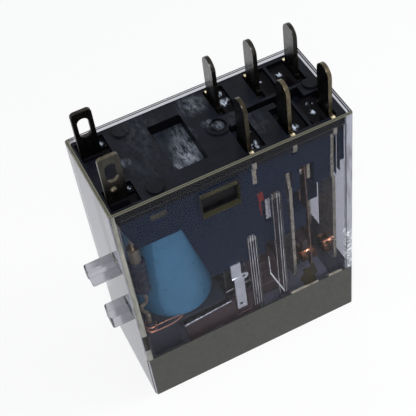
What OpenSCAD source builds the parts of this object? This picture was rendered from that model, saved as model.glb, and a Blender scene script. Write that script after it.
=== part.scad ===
// Slim two-pole plug-in relay in a clear case, standing on its closed end
// with the blades up. X runs along the case (coil end at -X), Y across it,
// and Z goes up from the middle of the closed end.

/* [Case] */
// Length of the case
case_l = 29; // [26:0.1:36]
// Width of the case
case_w = 13; // [12.6:0.1:16]
// Height of the case, closed end to rim
case_h = 35.5; // [35:0.1:44]
// Thickness of the case walls
case_wall = 0.7; // [0.6:0.05:0.9]
// Thickness of the lip round the base
lip_t = 0.4; // [0.3:0.05:0.5]
// Depth of the lip, from the rim to the ledge under the base
lip_depth = 1.5; // [1.2:0.1:2]
// Thickness of the closed end
end_t = 1.0; // [0.8:0.1:1.5]
// Radius of the upright corners
case_r = 0.4; // [0.3:0.05:1]
// Radius of the edges round the closed end
end_r = 0.35; // [0.2:0.05:0.6]
// Height of the nameplate band
band_h = 8; // [5:0.5:9]
// Thickness of the nameplate band
band_t = 0.3; // [0.2:0.05:0.35]
// Width of a latch window
window_l = 4.5; // [3:0.1:5]
// Height of a latch window
window_h = 3.2; // [2:0.1:4]
// Middle of a latch window along the case
window_x = -2.05; // [-4:0.05:0]
// Lower edge of a latch window below the rim
window_drop = 6.3; // [5:0.1:7]
// Width of the ribs inside the long walls
rib_w = 1.15; // [0.5:0.05:1.3]
// How far the ribs stand off the wall
rib_t = 0.3; // [0.15:0.05:0.3]
// Places of the ribs along the case
rib_x = [1.25, 4.75];
// Heights of the rib tops
rib_top = [21.9, 27.5];
// Width of the catch on the inside of a long wall
catch_l = 1.7; // [1:0.1:3]
// Place of the catch along the case
catch_x = -9.1; // [-10:0.1:-8]
// Lower edge of the catch below the rim
catch_drop = 3.7; // [3.4:0.1:4.5]

/* [Nibs] */
// Back face of the nibs on the coil end
nib_back = -3.45; // [-4:0.05:-2]
// Width of the nibs across the case
nib_w = 2.3; // [1.5:0.1:2.5]
// Reach of the upper nib
nib_high_l = 3.55; // [2:0.05:4.5]
// Lower edge of the upper nib
nib_high_z = 25.15; // [20:0.05:26]
// Height of the upper nib
nib_high_h = 1.45; // [1:0.05:3]
// Width of the raised part of the upper nib
nib_step_w = 1.15; // [0.8:0.05:1.4]
// Thickness of its lower part
nib_step_h = 0.27; // [0.2:0.01:0.6]
// Reach of the lower nib
nib_low_l = 2.65; // [1.5:0.05:3.5]
// Lower edge of the lower nib
nib_low_z = 16.4; // [11:0.1:18]
// Height of the lower nib
nib_low_h = 1.95; // [1:0.05:4]
// Radius of the nibs' corners
nib_r = 0.3; // [0.1:0.05:0.5]

/* [Base] */
// Depth of the base face below the rim
base_inset = 0.3; // [0.2:0.05:0.5]
// Clearance between the base and the lip
base_fit = 0.1; // [0.05:0.05:0.2]
// Thickness of the plate under the flange
plate_t = 1.0; // [0.8:0.1:1.5]
// Depth of the pockets round the pins
pocket_d = 1.0; // [0.6:0.1:1.4]
// Depth of the rectangular recess
recess_d = 1.4; // [1:0.1:1.6]
// Thickness of the skirts, the barrier and the inner walls
skirt_t = 0.55; // [0.4:0.05:0.7]
// Lower edge of the skirt over the coil
skirt_z = 28.3; // [28:0.1:30]
// Lower edge of the barrier beside the coil
barrier_z = 17.3; // [16:0.1:20]
// Lower edge of the contact block
block_z = 25.1; // [22:0.1:26]
// Lower edge of the skin over the terminals
skin_z = 29.5; // [29:0.1:30]
// Lower edge of the guard between the fixed strips and the springs
guard_z = 18.2; // [17.8:0.1:19]
// Height of the guard
guard_h = 3.1; // [2:0.1:4]

/* [Terminals] */
// Distance between the two rows of blades
row_pitch = 7.5; // [7.5:0.1:8]
// Pitch of the contact blades along the case
pin_pitch = 5; // [4.6:0.1:6]
// Distance of the outermost blades from the ends of the case
end_inset = 2; // [1.9:0.05:2.2]
// Thickness of all the blades
blade_t = 0.5; // [0.4:0.05:0.6]
// Width of a contact blade
blade_w = 2.4; // [2:0.1:3.2]
// Height of the blade tips above the rim
blade_out = 5.9; // [4:0.1:7]
// Width of a coil blade
coil_blade_w = 2.4; // [2:0.1:2.6]
// Width of the hole in a coil blade
eye_w = 1.3; // [0.8:0.1:1.5]
// Length of the hole in a coil blade
eye_l = 2.7; // [2:0.1:3]
// Thickness of the strips inside the case
strip_t = 0.4; // [0.3:0.05:0.4]

/* [Contacts] */
// Height of the contact line
contact_z = 11; // [10.4:0.1:12]
// Place of the contact springs along the case, at the contact line
contact_x = 9.3; // [9.25:0.05:9.35]
// Diameter of a contact head
contact_d = 2.4; // [1.6:0.1:2.6]
// Gap of the open contact
contact_gap = 0.6; // [0.5:0.05:0.7]
// Thickness of a contact spring
spring_t = 0.15; // [0.1:0.01:0.2]
// Lean of the contact springs, in degrees
spring_lean = 1.4; // [1:0.1:1.6]
// Height of the root about which a contact spring bends
spring_root_z = 28.6; // [28:0.1:29]

/* [Magnet] */
// Place of the coil along the case
coil_x = -7.6; // [-7.7:0.1:-7.5]
// Outer diameter of the taped coil
coil_d = 9.8; // [8:0.1:9.8]
// Diameter of the iron core
core_d = 3.8; // [3:0.1:4.2]
// Height of the pole face
pole_z = 11.23; // [11.1:0.01:11.4]
// Thickness of the yoke
yoke_t = 1.2; // [0.9:0.1:1.3]
// Top of the yoke
yoke_top = 29.1; // [28.8:0.1:29.4]
// Outer face of the yoke's leg
yoke_x = -1.1; // [-1.3:0.1:-1]
// Half width of the yoke
yoke_half = 4; // [3:0.1:4.2]
// Thickness of the armature
armature_t = 1.0; // [0.8:0.1:1.2]
// Tilt of the armature at rest, in degrees
rest_tilt = 6; // [4:0.5:6]

/* [Hidden] */
$fn = 48;

eps = 0.01;
half_l = case_l / 2;
half_w = case_w / 2;
inner_l = case_l - 2 * case_wall;
inner_w = case_w - 2 * case_wall;
ledge_z = case_h - lip_depth;
base_z = case_h - base_inset;
flange_l = case_l - 2 * lip_t - 2 * base_fit;
flange_w = case_w - 2 * lip_t - 2 * base_fit;
skirt_l = inner_l - 2 * base_fit;
skirt_w = inner_w - 2 * base_fit;
corner_in = 0.2;
plate_z = ledge_z - plate_t;
window_z = case_h - window_drop;

// Rows and pins
row_y = row_pitch / 2;
no_x = half_l - end_inset;
com_x = no_x - pin_pitch;
nc_x = com_x - pin_pitch;
coil_pin_x = -half_l + end_inset;
blade_tip = case_h + blade_out;
shoulder_z = base_z - pocket_d;
shoulder_sunk = 0.15;
shoulder_top = base_z - shoulder_sunk;
wall_fit = 0.05;
shoulder_out = inner_w / 2 - wall_fit;
shoulder_w = 0.2;
shoulder_in = row_y - blade_w / 2 - shoulder_w;

// Poles inside the case
pole_in = 1.4;
pole_out = 5.0;
pole_y = (pole_in + pole_out) / 2;

// Contact stack along X, from the closed contact to the open one
head_cap = 0.25;
nc_head = 1.0;
no_head = 1.2;
closed_gap = 0.02;
com_head_left = 1.12;
com_head_right = 1.2;
spring_root_x = contact_x - (spring_root_z - contact_z) * tan(spring_lean);
nc_strip_x = contact_x - com_head_left - closed_gap - nc_head;
no_strip_x = contact_x + spring_t + com_head_right + contact_gap + no_head;
strip_below = 2.2;
strip_end_z = contact_z - strip_below;
com_run_z = 31.2;
nc_run_z = 30.5;
function spring_at(z) = spring_root_x + (spring_root_z - z) * tan(spring_lean);

// Coil and magnet
tape_t = 0.15;
flange_t = 0.5;
pole_out_z = 0.22;
foot_top = pole_z + pole_out_z;
core_fit = 0.1;
coil_low = foot_top + flange_t;
yoke_under = yoke_top - yoke_t;
coil_high = yoke_under - flange_t - core_fit;
hinge_x = yoke_x;
hinge_gap = 0.03;
hinge_z = pole_z - hinge_gap;

// A rectangle with round corners about the origin
module round_rect(l, w, r) {
    square([l - 2 * r, w], center = true);
    square([l, w - 2 * r], center = true);
    for (x = [-1, 1], y = [-1, 1])
        translate([x * (l / 2 - r), y * (w / 2 - r)])
            circle(r);
}

// A rectangle with its two lower corners round, its lower edge on the X axis
module round_foot(l, h, r) {
    translate([-l / 2, r])
        square([l, h - r]);
    translate([-l / 2 + r, 0])
        square([l - 2 * r, r]);
    for (x = [-1, 1])
        translate([x * (l / 2 - r), r])
            circle(r);
}

// A profile drawn in X and Z, given depth d across the case from y on
module across(y, d) {
    translate([0, y + d, 0])
        rotate([90, 0, 0])
            linear_extrude(d)
                children();
}

// The same profile on the front side and mirrored on the back
module both_sides() {
    children();
    mirror([0, 1, 0])
        children();
}

// Two poles: what is drawn for the front one goes to the back when asked
module on_side(back) {
    if (back)
        mirror([0, 1, 0])
            children();
    else
        children();
}

// Outline of a bent strip of thickness t along a path of points
function unit(v) = v / norm(v);
function turn_left(v) = [-v[1], v[0]];
function miter(p, i, t) =
    let (last = len(p) - 1,
         a = unit(i == 0 ? p[1] - p[0] : p[i] - p[i - 1]),
         b = unit(i == last ? p[last] - p[last - 1] : p[i + 1] - p[i]),
         n = turn_left(a) + turn_left(b))
    n * t / (n * n);
function strip_outline(p, t) = concat(
    [for (i = [0 : len(p) - 1]) p[i] + miter(p, i, t)],
    [for (i = [len(p) - 1 : -1 : 0]) p[i] - miter(p, i, t)]);

// A round wire along a smooth curve through a list of points
wire_sides = 8;
wire_steps = 4;
function curve_point(a, b, c, d, t) =
    (2 * b + (c - a) * t + (2 * a - 5 * b + 4 * c - d) * t * t
     + (3 * b - a - 3 * c + d) * t * t * t) / 2;
function curve(p) =
    let (last = len(p) - 1)
    concat(
        [for (i = [0 : last - 1], k = [0 : wire_steps - 1])
            curve_point(p[max(i - 1, 0)], p[i], p[i + 1], p[min(i + 2, last)], k / wire_steps)],
        [p[last]]);
function tangent(q, i) = unit(q[min(i + 1, len(q) - 1)] - q[max(i - 1, 0)]);
function ring(q, i, r, side) =
    let (t = tangent(q, i),
         u = unit(cross(t, side)),
         v = cross(t, u))
    [for (k = [0 : wire_sides - 1])
        q[i] + r * (cos(360 * k / wire_sides) * u + sin(360 * k / wire_sides) * v)];
module wire(points, d, side = [0, 1, 0]) {
    q = curve(points);
    n = wire_sides;
    last = len(q) - 1;
    polyhedron(
        points = [for (i = [0 : last]) each ring(q, i, d / 2, side)],
        faces = concat(
            [[for (k = [0 : n - 1]) k]],
            [for (i = [0 : last - 1], k = [0 : n - 1])
                [i * n + k, (i + 1) * n + k, (i + 1) * n + (k + 1) % n, i * n + (k + 1) % n]],
            [[for (k = [n - 1 : -1 : 0]) last * n + k]]));
}

// A contact head with a domed face, its back on x = 0 and its face at +X
module contact_head(h) {
    rotate([0, 90, 0])
        rotate_extrude()
            polygon([
                [0, 0],
                [contact_d / 2, 0],
                [contact_d / 2, h - head_cap],
                [contact_d / 3, h - head_cap / 4],
                [contact_d / 6, h],
                [0, h]
            ]);
}

// Case

catch_t = 0.3;
catch_h = 0.7;
ledge_x = [5.6, 11];
ledge_l = [3.8, 1.8];
ledge_low = 6.6;
ledge_h = 0.8;

module case_outer() {
    intersection() {
        linear_extrude(case_h)
            round_rect(case_l, case_w, case_r);
        across(-half_w, case_w)
            round_foot(case_l, case_h, end_r);
    }
}

module case_inner() {
    translate([0, 0, end_t])
        linear_extrude(case_h)
            round_rect(inner_l, inner_w, corner_in);
    translate([0, 0, ledge_z])
        linear_extrude(case_h)
            round_rect(case_l - 2 * lip_t, case_w - 2 * lip_t, corner_in);
}

module latch_windows() {
    translate([window_x - window_l / 2, -half_w - 1, window_z])
        cube([window_l, case_w + 2, window_h]);
}

// The band goes round the closed end and up three walls, and leaves the coil end clear
module band_recess() {
    difference() {
        translate([-half_l - 1, -half_w - 1, -1])
            cube([case_l + 2, case_w + 2, band_h + 1]);
        translate([-half_l - 2, -half_w + band_t, band_t])
            cube([case_l + 2 - band_t, case_w - 2 * band_t, band_h + 1]);
    }
}

module wall_rib(x, top) {
    across(-inner_w / 2 - eps, rib_t + eps) {
        translate([x - rib_w / 2, end_t - eps])
            square([rib_w, top - rib_w / 2 - end_t + eps]);
        translate([x, top - rib_w / 2])
            circle(d = rib_w);
    }
}

// Catch that snaps into the base's skirt
module wall_catch() {
    translate([catch_x - catch_l / 2, -inner_w / 2 - eps, case_h - catch_drop])
        cube([catch_l, catch_t + eps, catch_h]);
}

// Low ledges inside the long walls, above the band
module wall_ledge(x, l) {
    translate([x, -inner_w / 2 - eps, ledge_low])
        cube([l, rib_t + eps, ledge_h]);
}

// A nib of a reach and width, with its outer corners round as seen from above
module nib(reach, w, z, h) {
    translate([-half_l, nib_back, z])
        linear_extrude(h)
            difference() {
                translate([0, -w / 2])
                    round_rect(2 * reach, w, nib_r);
                translate([eps, -w - 1])
                    square([reach + 1, w + 2]);
            }
}

module cover() {
    color([0.85, 0.88, 0.9, 0.35])
        union() {
            difference() {
                case_outer();
                case_inner();
                latch_windows();
                band_recess();
            }
            both_sides() {
                for (i = [0 : len(rib_x) - 1])
                    wall_rib(rib_x[i], rib_top[i]);
                for (i = [0 : len(ledge_x) - 1])
                    wall_ledge(ledge_x[i], ledge_l[i]);
                wall_catch();
            }
            nib(nib_high_l, nib_step_w, nib_high_z, nib_high_h);
            nib(nib_high_l - 0.1, nib_w, nib_high_z, nib_step_h);
            nib(nib_low_l, nib_w, nib_low_z, nib_low_h);
        }
}

module nameplate() {
    color([0.31, 0.31, 0.29])
        intersection() {
            case_outer();
            band_recess();
        }
}

// Base

// Box from one corner to the other, both given in x, y and z
module block(a, b) {
    translate(a)
        cube(b - a);
}

module base_flange() {
    translate([0, 0, ledge_z])
        linear_extrude(base_z - ledge_z)
            round_rect(flange_l, flange_w, corner_in);
    translate([0, 0, plate_z])
        linear_extrude(plate_t + eps)
            round_rect(skirt_l, skirt_w, corner_in);
}

// Pockets open at the top of the base, round the pins
pocket_z = base_z - pocket_d;
pocket_in = 1.0;
pocket_out = 5.4;
pocket_left = 0.6;
pocket_wall = 0.35;
nc_pocket = [nc_x - pocket_left, nc_x + 1.8];
com_pocket = [com_x - pocket_left, com_x + 2.1];
no_pocket = [com_pocket[1] + pocket_wall, no_x + 0.5];
coil_pocket = [coil_pin_x - 1.3, coil_pin_x + 2.1];
coil_pocket_in = 2.4;
coil_pocket_out = 5.5;
recess_x = [-5.75, -1.8];
recess_half = 3.75;
trench_d = pocket_d + 0.4;
trench_x = [nc_x + 2, com_x + 0.5, no_x - 1.1];
trench_y = [-0.2, 0.6];
stub_d = 1.9;
stub_h = 0.25;
stub_places = [[-8.5, 4.75], [-8.5, -4.75], [half_l - 1.5, 0.35]];
ring_x = nc_x - 1.4;
ring_y = -0.2;
ring_d = 2.9;
ring_hole = 1.5;
ring_groove = 0.25;
ring_h = 0.2;
ring_disc_h = 0.08;

module pocket(x, y, d) {
    block([x[0], y[0], base_z - d], [x[1], y[1], case_h + 1]);
}

module base_pockets() {
    both_sides() {
        for (x = [nc_pocket, com_pocket, no_pocket])
            pocket(x, [-pocket_out, -pocket_in], pocket_d);
        pocket(coil_pocket, [-coil_pocket_out, -coil_pocket_in], pocket_d);
    }
    // Stepped trench between the rows
    pocket([trench_x[0], trench_x[2]], trench_y, trench_d);
    pocket([trench_x[1], trench_x[2]], [-pocket_in - eps, trench_y[1]], trench_d);
    // Rectangular recess
    pocket(recess_x, [-recess_half, recess_half], recess_d);
}

// Round stubs left where the moulding was pushed out of its mould
module ejector_stubs() {
    for (place = stub_places)
        translate([place[0], place[1], base_z - eps])
            cylinder(d = stub_d, h = stub_h + eps);
}

// Ring with a sunken middle
module ring_boss() {
    translate([ring_x, ring_y, base_z - eps])
        cylinder(d = ring_d, h = ring_h + eps);
}

module ring_sink() {
    translate([ring_x, ring_y, base_z - ring_h])
        difference() {
            cylinder(d = ring_hole + 2 * ring_groove, h = 3 * ring_h);
            translate([0, 0, -1])
                cylinder(d = ring_hole, h = 1 + ring_h + ring_disc_h);
        }
}

// Slots that the terminals pass through, a little larger than the metal
slot_fit = 0.05;

module coil_slot(w, z) {
    block([coil_pin_x - w / 2 - slot_fit, -row_y - blade_t / 2 - slot_fit, z],
          [coil_pin_x + w / 2 + slot_fit, -row_y + blade_t / 2 + slot_fit, case_h]);
}

module terminal_slots() {
    both_sides() {
        for (x = [nc_x, com_x, no_x])
            block([x - blade_t / 2 - slot_fit, -shoulder_out - slot_fit, plate_z - 1],
                  [x + blade_t / 2 + slot_fit, -shoulder_in + slot_fit, case_h]);
        coil_slot(coil_foot_w, plate_z - 1);
        coil_slot(coil_blade_w, ledge_z);
    }
}

// Front skirt and barrier, as seen through the long wall
barrier_t = 0.42;
rib_fit = 0.08;
barrier_y = inner_w / 2 - rib_t - rib_fit - barrier_t;
barrier_front = barrier_y + barrier_t;
wall_out = skirt_w / 2;
skirt_x = [-12.1, -7.2];
skirt_end = -skirt_l / 2 + 0.3;
skirt_rise = 3.7;
barrier_x = [-7.4, -4.2, nc_x + 0.45];
barrier_shelf = 0.5;
nose_over = 0.3;

module coil_skirt() {
    difference() {
        across(-wall_out, skirt_t)
            polygon([
                [skirt_end, plate_z + eps],
                [skirt_end, skirt_z + skirt_rise],
                [skirt_x[0], skirt_z],
                [skirt_x[1], skirt_z],
                [skirt_x[1], plate_z + eps]
            ]);
        // Seat of the catch on the case
        translate([catch_x - catch_l / 2 - base_fit, -wall_out - 1, case_h - catch_drop - base_fit])
            cube([catch_l + 2 * base_fit, 1 + catch_t, catch_h + 2 * base_fit]);
    }
}

module barrier_side() {
    across(-barrier_front, barrier_t)
        polygon([
            [barrier_x[0], plate_z + eps],
            [barrier_x[0], skirt_z],
            [barrier_x[0] + barrier_shelf, skirt_z],
            [barrier_x[1], barrier_z],
            [barrier_x[2], barrier_z],
            [barrier_x[2], plate_z + eps]
        ]);
}

// Skin over the terminals, from the barrier to the open contact's strip
skin_t = 0.28;
skin_end = no_strip_x - 0.4;
tongue_l = 1.3;
tongue_z = 26.8;

module terminal_skin() {
    across(-barrier_front, skin_t)
        polygon([
            [barrier_x[2] - eps, plate_z + eps],
            [barrier_x[2] - eps, tongue_z],
            [barrier_x[2] + tongue_l, tongue_z],
            [barrier_x[2] + tongue_l, skin_z],
            [skin_end, skin_z],
            [skin_end, plate_z + eps]
        ]);
}

// Nose behind a latch window, which keeps the base from lifting out
module latch_nose() {
    x = window_l / 2 + nose_over;
    block([window_x - x, -wall_out, window_z - nose_over],
          [window_x + x, -barrier_y, window_z + window_h + nose_over]);
}

// Cross wall between the coil and the contacts
cross_wall_x = nc_x - 0.6;
cross_wall_t = 1;
cross_wall_z = 19.6;

module cross_wall() {
    block([cross_wall_x, -barrier_y - eps, cross_wall_z],
          [cross_wall_x + cross_wall_t, barrier_y + eps, plate_z + eps]);
}

// Leg at the contact end, stepped at its outer edge
strip_fit = 0.1;
leg_z = [26.4, 28.1];
leg_step = 0.5;
leg_x0 = no_strip_x + strip_t + strip_fit + slot_fit;
leg_x1 = skirt_l / 2 - 0.1;

module end_leg() {
    across(-pole_out - strip_fit - skirt_t, skirt_t)
        polygon([
            [leg_x0, plate_z + eps],
            [leg_x0, leg_z[0]],
            [leg_x1 - leg_step, leg_z[0]],
            [leg_x1 - leg_step, leg_z[1]],
            [leg_x1, leg_z[1]],
            [leg_x1, plate_z + eps]
        ]);
}

// Block that holds the contact terminals, with a slot for each strip
block_x0 = cross_wall_x + cross_wall_t - eps;
block_x1 = no_strip_x + 0.6;
block_y = pole_out - 0.1;
septum_half = 1.15;
septum_x1 = no_strip_x;
septum_z = 17.6;
guard_y = pole_out - 0.2;
guard_gap = 0.15;
guard_x1 = spring_at(guard_z + guard_h) - guard_gap;
step_x1 = nc_strip_x - strip_t - 0.2;
spring_way = [-0.6, 1.2];

// Slots for the bent strips, open towards the long walls
module strip_slot(x0, x1, z0, z1) {
    block([x0, -pole_out - strip_fit, z0], [x1, -septum_half, z1]);
}

module strip_slots() {
    pin_half = blade_t / 2 + slot_fit;
    run_half = strip_t / 2 + slot_fit;
    run_low = com_run_z - run_half;
    run_high = com_run_z + run_half;
    nc_low = nc_run_z - run_half;
    strip_left = nc_strip_x - strip_t - nc_slant[0] - slot_fit;
    way = [spring_root_x + spring_way[0], spring_root_x + spring_way[1]];
    both_sides() {
        strip_slot(strip_left, nc_strip_x + strip_fit, block_z - 1, run_high);
        strip_slot(nc_strip_x - strip_t - strip_fit, nc_strip_x + strip_fit, guard_z - 1, block_z);
        strip_slot(nc_x - pin_half, nc_strip_x, nc_low, nc_run_z + run_half);
        strip_slot(way[0], way[1], block_z - 1, run_low);
        strip_slot(com_x - pin_half, way[1], run_low, run_high);
        strip_slot(no_x - pin_half, no_strip_x + strip_t + strip_fit, block_z - 1, run_high);
        for (x = [nc_x, com_x, no_x])
            strip_slot(x - pin_half, x + pin_half, x == nc_x ? nc_low : run_low, plate_z + eps);
        // Way for the root of the first blade and its lug
        block([nc_x - pin_half, -half_w, tang_z - slot_fit], [nc_x + pin_half, -pole_in, plate_z + eps]);
        block([lug_x - slot_fit, -barrier_front + skin_t, lug_z - 1],
              [lug_x + lug_w + slot_fit, -pole_in - 1, run_high]);
    }
}

module contact_block() {
    block([block_x0, -block_y, block_z], [block_x1, block_y, plate_z + eps]);
    // Thin wall between the poles, down to the card's arm
    block([nc_strip_x, -septum_half, septum_z], [septum_x1, septum_half, block_z + eps]);
    // Guard and the step above it, on the side of the card
    block([block_x0, -guard_y, guard_z], [guard_x1, guard_y, guard_z + guard_h]);
    block([block_x0, -guard_y, guard_z + guard_h - eps], [step_x1, guard_y, block_z + eps]);
}

// Thick part of the base over the coil, which the yoke stands against
seat_x = [-6.6, -0.9];
seat_half = 4.5;
seat_t = 0.6;
seat_rib_y = [-yoke_half + 0.6, -yoke_half + 1.4];

module yoke_seat() {
    block([seat_x[0], -seat_half, plate_z - seat_t], [seat_x[1], seat_half, plate_z + eps]);
    both_sides()
        block([yoke_left, seat_rib_y[0], yoke_top], [yoke_x - yoke_t, seat_rib_y[1], plate_z + eps]);
}

module base() {
    color([0.13, 0.14, 0.17])
        difference() {
            union() {
                base_flange();
                ring_boss();
                ejector_stubs();
                both_sides() {
                    coil_skirt();
                    barrier_side();
                    terminal_skin();
                    latch_nose();
                    end_leg();
                }
                cross_wall();
                contact_block();
                yoke_seat();
            }
            base_pockets();
            ring_sink();
            terminal_slots();
            strip_slots();
        }
}

// Resin poured into the pockets round the pins
resin_t = 0.45;

module resin_pool(x, y) {
    block([x[0] + slot_fit, y[0], pocket_z], [x[1] - slot_fit, y[1], pocket_z + resin_t]);
}

module sealing_resin() {
    pin_half = blade_t / 2 + slot_fit;
    row = [-pocket_out + slot_fit, -pocket_in - slot_fit];
    color([0.05, 0.05, 0.06])
        both_sides() {
            resin_pool([nc_x + pin_half, nc_pocket[1]], row);
            resin_pool([com_x + pin_half, com_pocket[1]], row);
            resin_pool([no_pocket[0], no_x - pin_half], row);
            resin_pool(coil_pocket, [-row_y + pin_half, -coil_pocket_in - slot_fit]);
            resin_pool(coil_pocket, [-coil_pocket_out + slot_fit, -row_y - pin_half]);
        }
}

// Terminals
blade_foot = 0.3;
strip_lap = 0.2;

module contact_blade(x) {
    translate([x - blade_t / 2, 0, 0])
        rotate([90, 0, 90])
            linear_extrude(blade_t) {
                translate([-row_y - blade_w / 2, shoulder_z])
                    square([blade_w, blade_tip - blade_w / 2 - shoulder_z]);
                translate([-row_y, blade_tip - blade_w / 2])
                    circle(d = blade_w);
                translate([-shoulder_out, shoulder_z])
                    square([shoulder_out - shoulder_in, shoulder_top - shoulder_z]);
                translate([-shoulder_out, plate_z - blade_foot])
                    square([shoulder_out - shoulder_in, shoulder_z - plate_z + blade_foot + eps]);
            }
}

// A strip bent in X and Z, as wide as a pole
module pole_strip(path) {
    across(-pole_out, pole_out - pole_in)
        polygon(strip_outline(path, strip_t));
}

// A fixed strip with a round lower end
strip_end_r = 0.9;

module strip_with_round_end(path) {
    intersection() {
        pole_strip(path);
        translate([-half_l, -pole_y, strip_end_z])
            rotate([90, 0, 90])
                linear_extrude(case_l)
                    round_foot(pole_out - pole_in, case_h - strip_end_z, strip_end_r);
    }
}

nc_slant = [0.35, 0.1];
nc_jog_z = 26.4;
no_slant = 0.2;
no_slant_z = [com_run_z - 1, com_run_z - 2];
no_jog_z = 25.2;
jog_h = 0.4;
tang_z = 30;
tang_in = pole_out - 0.4;
lug_x = nc_x + 1.1;
lug_w = 0.6;
lug_z = 22.9;
lug_t = 0.22;
lug_gap = 0.04;
lug_y = -barrier_front + skin_t + lug_gap;

module nc_terminal() {
    contact_blade(nc_x);
    x = nc_strip_x - strip_t / 2;
    strip_with_round_end([
        [nc_x, plate_z - strip_lap],
        [nc_x, nc_run_z],
        [x - nc_slant[0], nc_run_z],
        [x - nc_slant[1], nc_jog_z],
        [x, nc_jog_z - jog_h],
        [x, strip_end_z]
    ]);
    // Tang below the blade, flush with the barrier
    block([nc_x - blade_t / 2, -barrier_front, tang_z], [nc_x + blade_t / 2, -tang_in, plate_z]);
    // Lug that hangs from the run, in front of the block
    block([lug_x, lug_y, lug_z], [lug_x + lug_w, lug_y + lug_t, nc_run_z]);
}

root_gap = 0.13;
com_strip_x = spring_root_x + spring_t + root_gap;
com_strip_z = 26.6;
rivet_z = 27.4;
rivet_y = 0.9;
rivet_d = 0.5;
rivet_head_d = 0.9;
rivet_head_h = 0.25;
rivet_gap = 0.1;
rivet_fit = 0.1;

module com_terminal() {
    contact_blade(com_x);
    x = com_strip_x + strip_t / 2;
    pole_strip([
        [com_x, plate_z - strip_lap],
        [com_x, com_run_z],
        [x, com_run_z],
        [x, com_strip_z]
    ]);
    // Two rivets that hold the contact spring, loose enough for it to bend
    head_x = spring_root_x - rivet_head_h - rivet_gap;
    for (y = [-1, 1])
        translate([head_x, -pole_y + y * rivet_y, rivet_z])
            rotate([0, 90, 0]) {
                cylinder(d = rivet_head_d, h = rivet_head_h);
                cylinder(d = rivet_d, h = x - head_x);
            }
}

module no_terminal() {
    contact_blade(no_x);
    x = no_strip_x + strip_t / 2;
    strip_with_round_end([
        [no_x, plate_z - strip_lap],
        [no_x, no_slant_z[0]],
        [x - no_slant, no_slant_z[1]],
        [x - no_slant, no_jog_z],
        [x, no_jog_z - jog_h],
        [x, strip_end_z]
    ]);
}

module nc_terminal_front() {
    color([0.6, 0.55, 0.45])
        nc_terminal();
}

module nc_terminal_back() {
    color([0.6, 0.55, 0.45])
        on_side(true)
            nc_terminal();
}

module com_terminal_front() {
    color([0.6, 0.55, 0.45])
        com_terminal();
}

module com_terminal_back() {
    color([0.6, 0.55, 0.45])
        on_side(true)
            com_terminal();
}

module no_terminal_front() {
    color([0.6, 0.55, 0.45])
        no_terminal();
}

module no_terminal_back() {
    color([0.6, 0.55, 0.45])
        on_side(true)
            no_terminal();
}

coil_tail_z = 29.6;
coil_tail_w = 1.2;
coil_foot_w = coil_blade_w - 0.3;
eye_drop = 1;
coil_blade_r = 0.5;

module coil_terminal() {
    across(-row_y - blade_t / 2, blade_t)
        difference() {
            union() {
                translate([coil_pin_x, (blade_tip + shoulder_z) / 2])
                    round_rect(coil_blade_w, blade_tip - shoulder_z, coil_blade_r);
                translate([coil_pin_x - coil_blade_w / 2, ledge_z + slot_fit])
                    square([coil_blade_w, blade_out]);
                translate([coil_pin_x - coil_foot_w / 2, plate_z])
                    square([coil_foot_w, lip_depth]);
                translate([coil_pin_x - coil_tail_w / 2, coil_tail_z])
                    square([coil_tail_w, plate_z - coil_tail_z + eps]);
            }
            translate([coil_pin_x, blade_tip - eye_drop - eye_l / 2])
                round_rect(eye_w, eye_l, eye_w / 2 - eps);
        }
}

module coil_terminal_front() {
    color([0.45, 0.42, 0.36])
        coil_terminal();
}

module coil_terminal_back() {
    color([0.45, 0.42, 0.36])
        on_side(true)
            coil_terminal();
}

// Contacts

stem_d = 1.1;

module nc_contact() {
    translate([nc_strip_x, -pole_y, contact_z])
        contact_head(nc_head);
}

module no_contact() {
    translate([no_strip_x, -pole_y, contact_z])
        mirror([1, 0, 0])
            contact_head(no_head);
}

// Places what moves with a spring, drawn upright from the contact line up
spring_reach = (spring_root_z - contact_z) / cos(spring_lean);

module leaning() {
    translate([spring_root_x, 0, spring_root_z])
        rotate([0, -spring_lean, 0])
            translate([0, 0, -spring_reach])
                children();
}

module moving_contact() {
    leaning()
        translate([0, -pole_y, 0]) {
            mirror([1, 0, 0])
                contact_head(com_head_left);
            translate([spring_t, 0, 0])
                contact_head(com_head_right);
            translate([-eps, 0, 0])
                rotate([0, 90, 0])
                    cylinder(d = stem_d, h = spring_t + 2 * eps);
        }
}

module nc_contact_front() {
    color([0.8, 0.45, 0.3])
        nc_contact();
}

module nc_contact_back() {
    color([0.8, 0.45, 0.3])
        on_side(true)
            nc_contact();
}

module no_contact_front() {
    color([0.8, 0.45, 0.3])
        no_contact();
}

module no_contact_back() {
    color([0.8, 0.45, 0.3])
        on_side(true)
            no_contact();
}

module moving_contact_front() {
    color([0.75, 0.75, 0.78])
        moving_contact();
}

module moving_contact_back() {
    color([0.75, 0.75, 0.78])
        on_side(true)
            moving_contact();
}

// Contact spring: a thin strip with round lower corners, split along its middle
spring_w = pole_out - pole_in - 0.3;
spring_over = 0.5;
spring_low = 1.4;
spring_r = 0.5;
split_w = 0.5;
split_low = 7;
split_high = spring_reach - 3;
stem_fit = 0.02;

module contact_spring() {
    leaning()
        translate([0, -pole_y, 0])
            rotate([90, 0, 90])
                linear_extrude(spring_t)
                    difference() {
                        translate([0, -spring_low])
                            round_foot(spring_w, spring_low + spring_reach + spring_over, spring_r);
                        for (y = [-1, 1])
                            translate([y * rivet_y, spring_reach - spring_root_z + rivet_z])
                                circle(d = rivet_d + 2 * rivet_fit);
                        circle(d = stem_d + 2 * stem_fit);
                        translate([-split_w / 2, split_low])
                            square([split_w, split_high - split_low]);
                    }
}

module contact_spring_front() {
    color([0.72, 0.42, 0.3])
        contact_spring();
}

module contact_spring_back() {
    color([0.72, 0.42, 0.3])
        on_side(true)
            contact_spring();
}

// Magnet

core_neck_d = core_d - 1;
core_cap_d = core_d - 0.4;
core_cap_h = 0.35;

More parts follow.
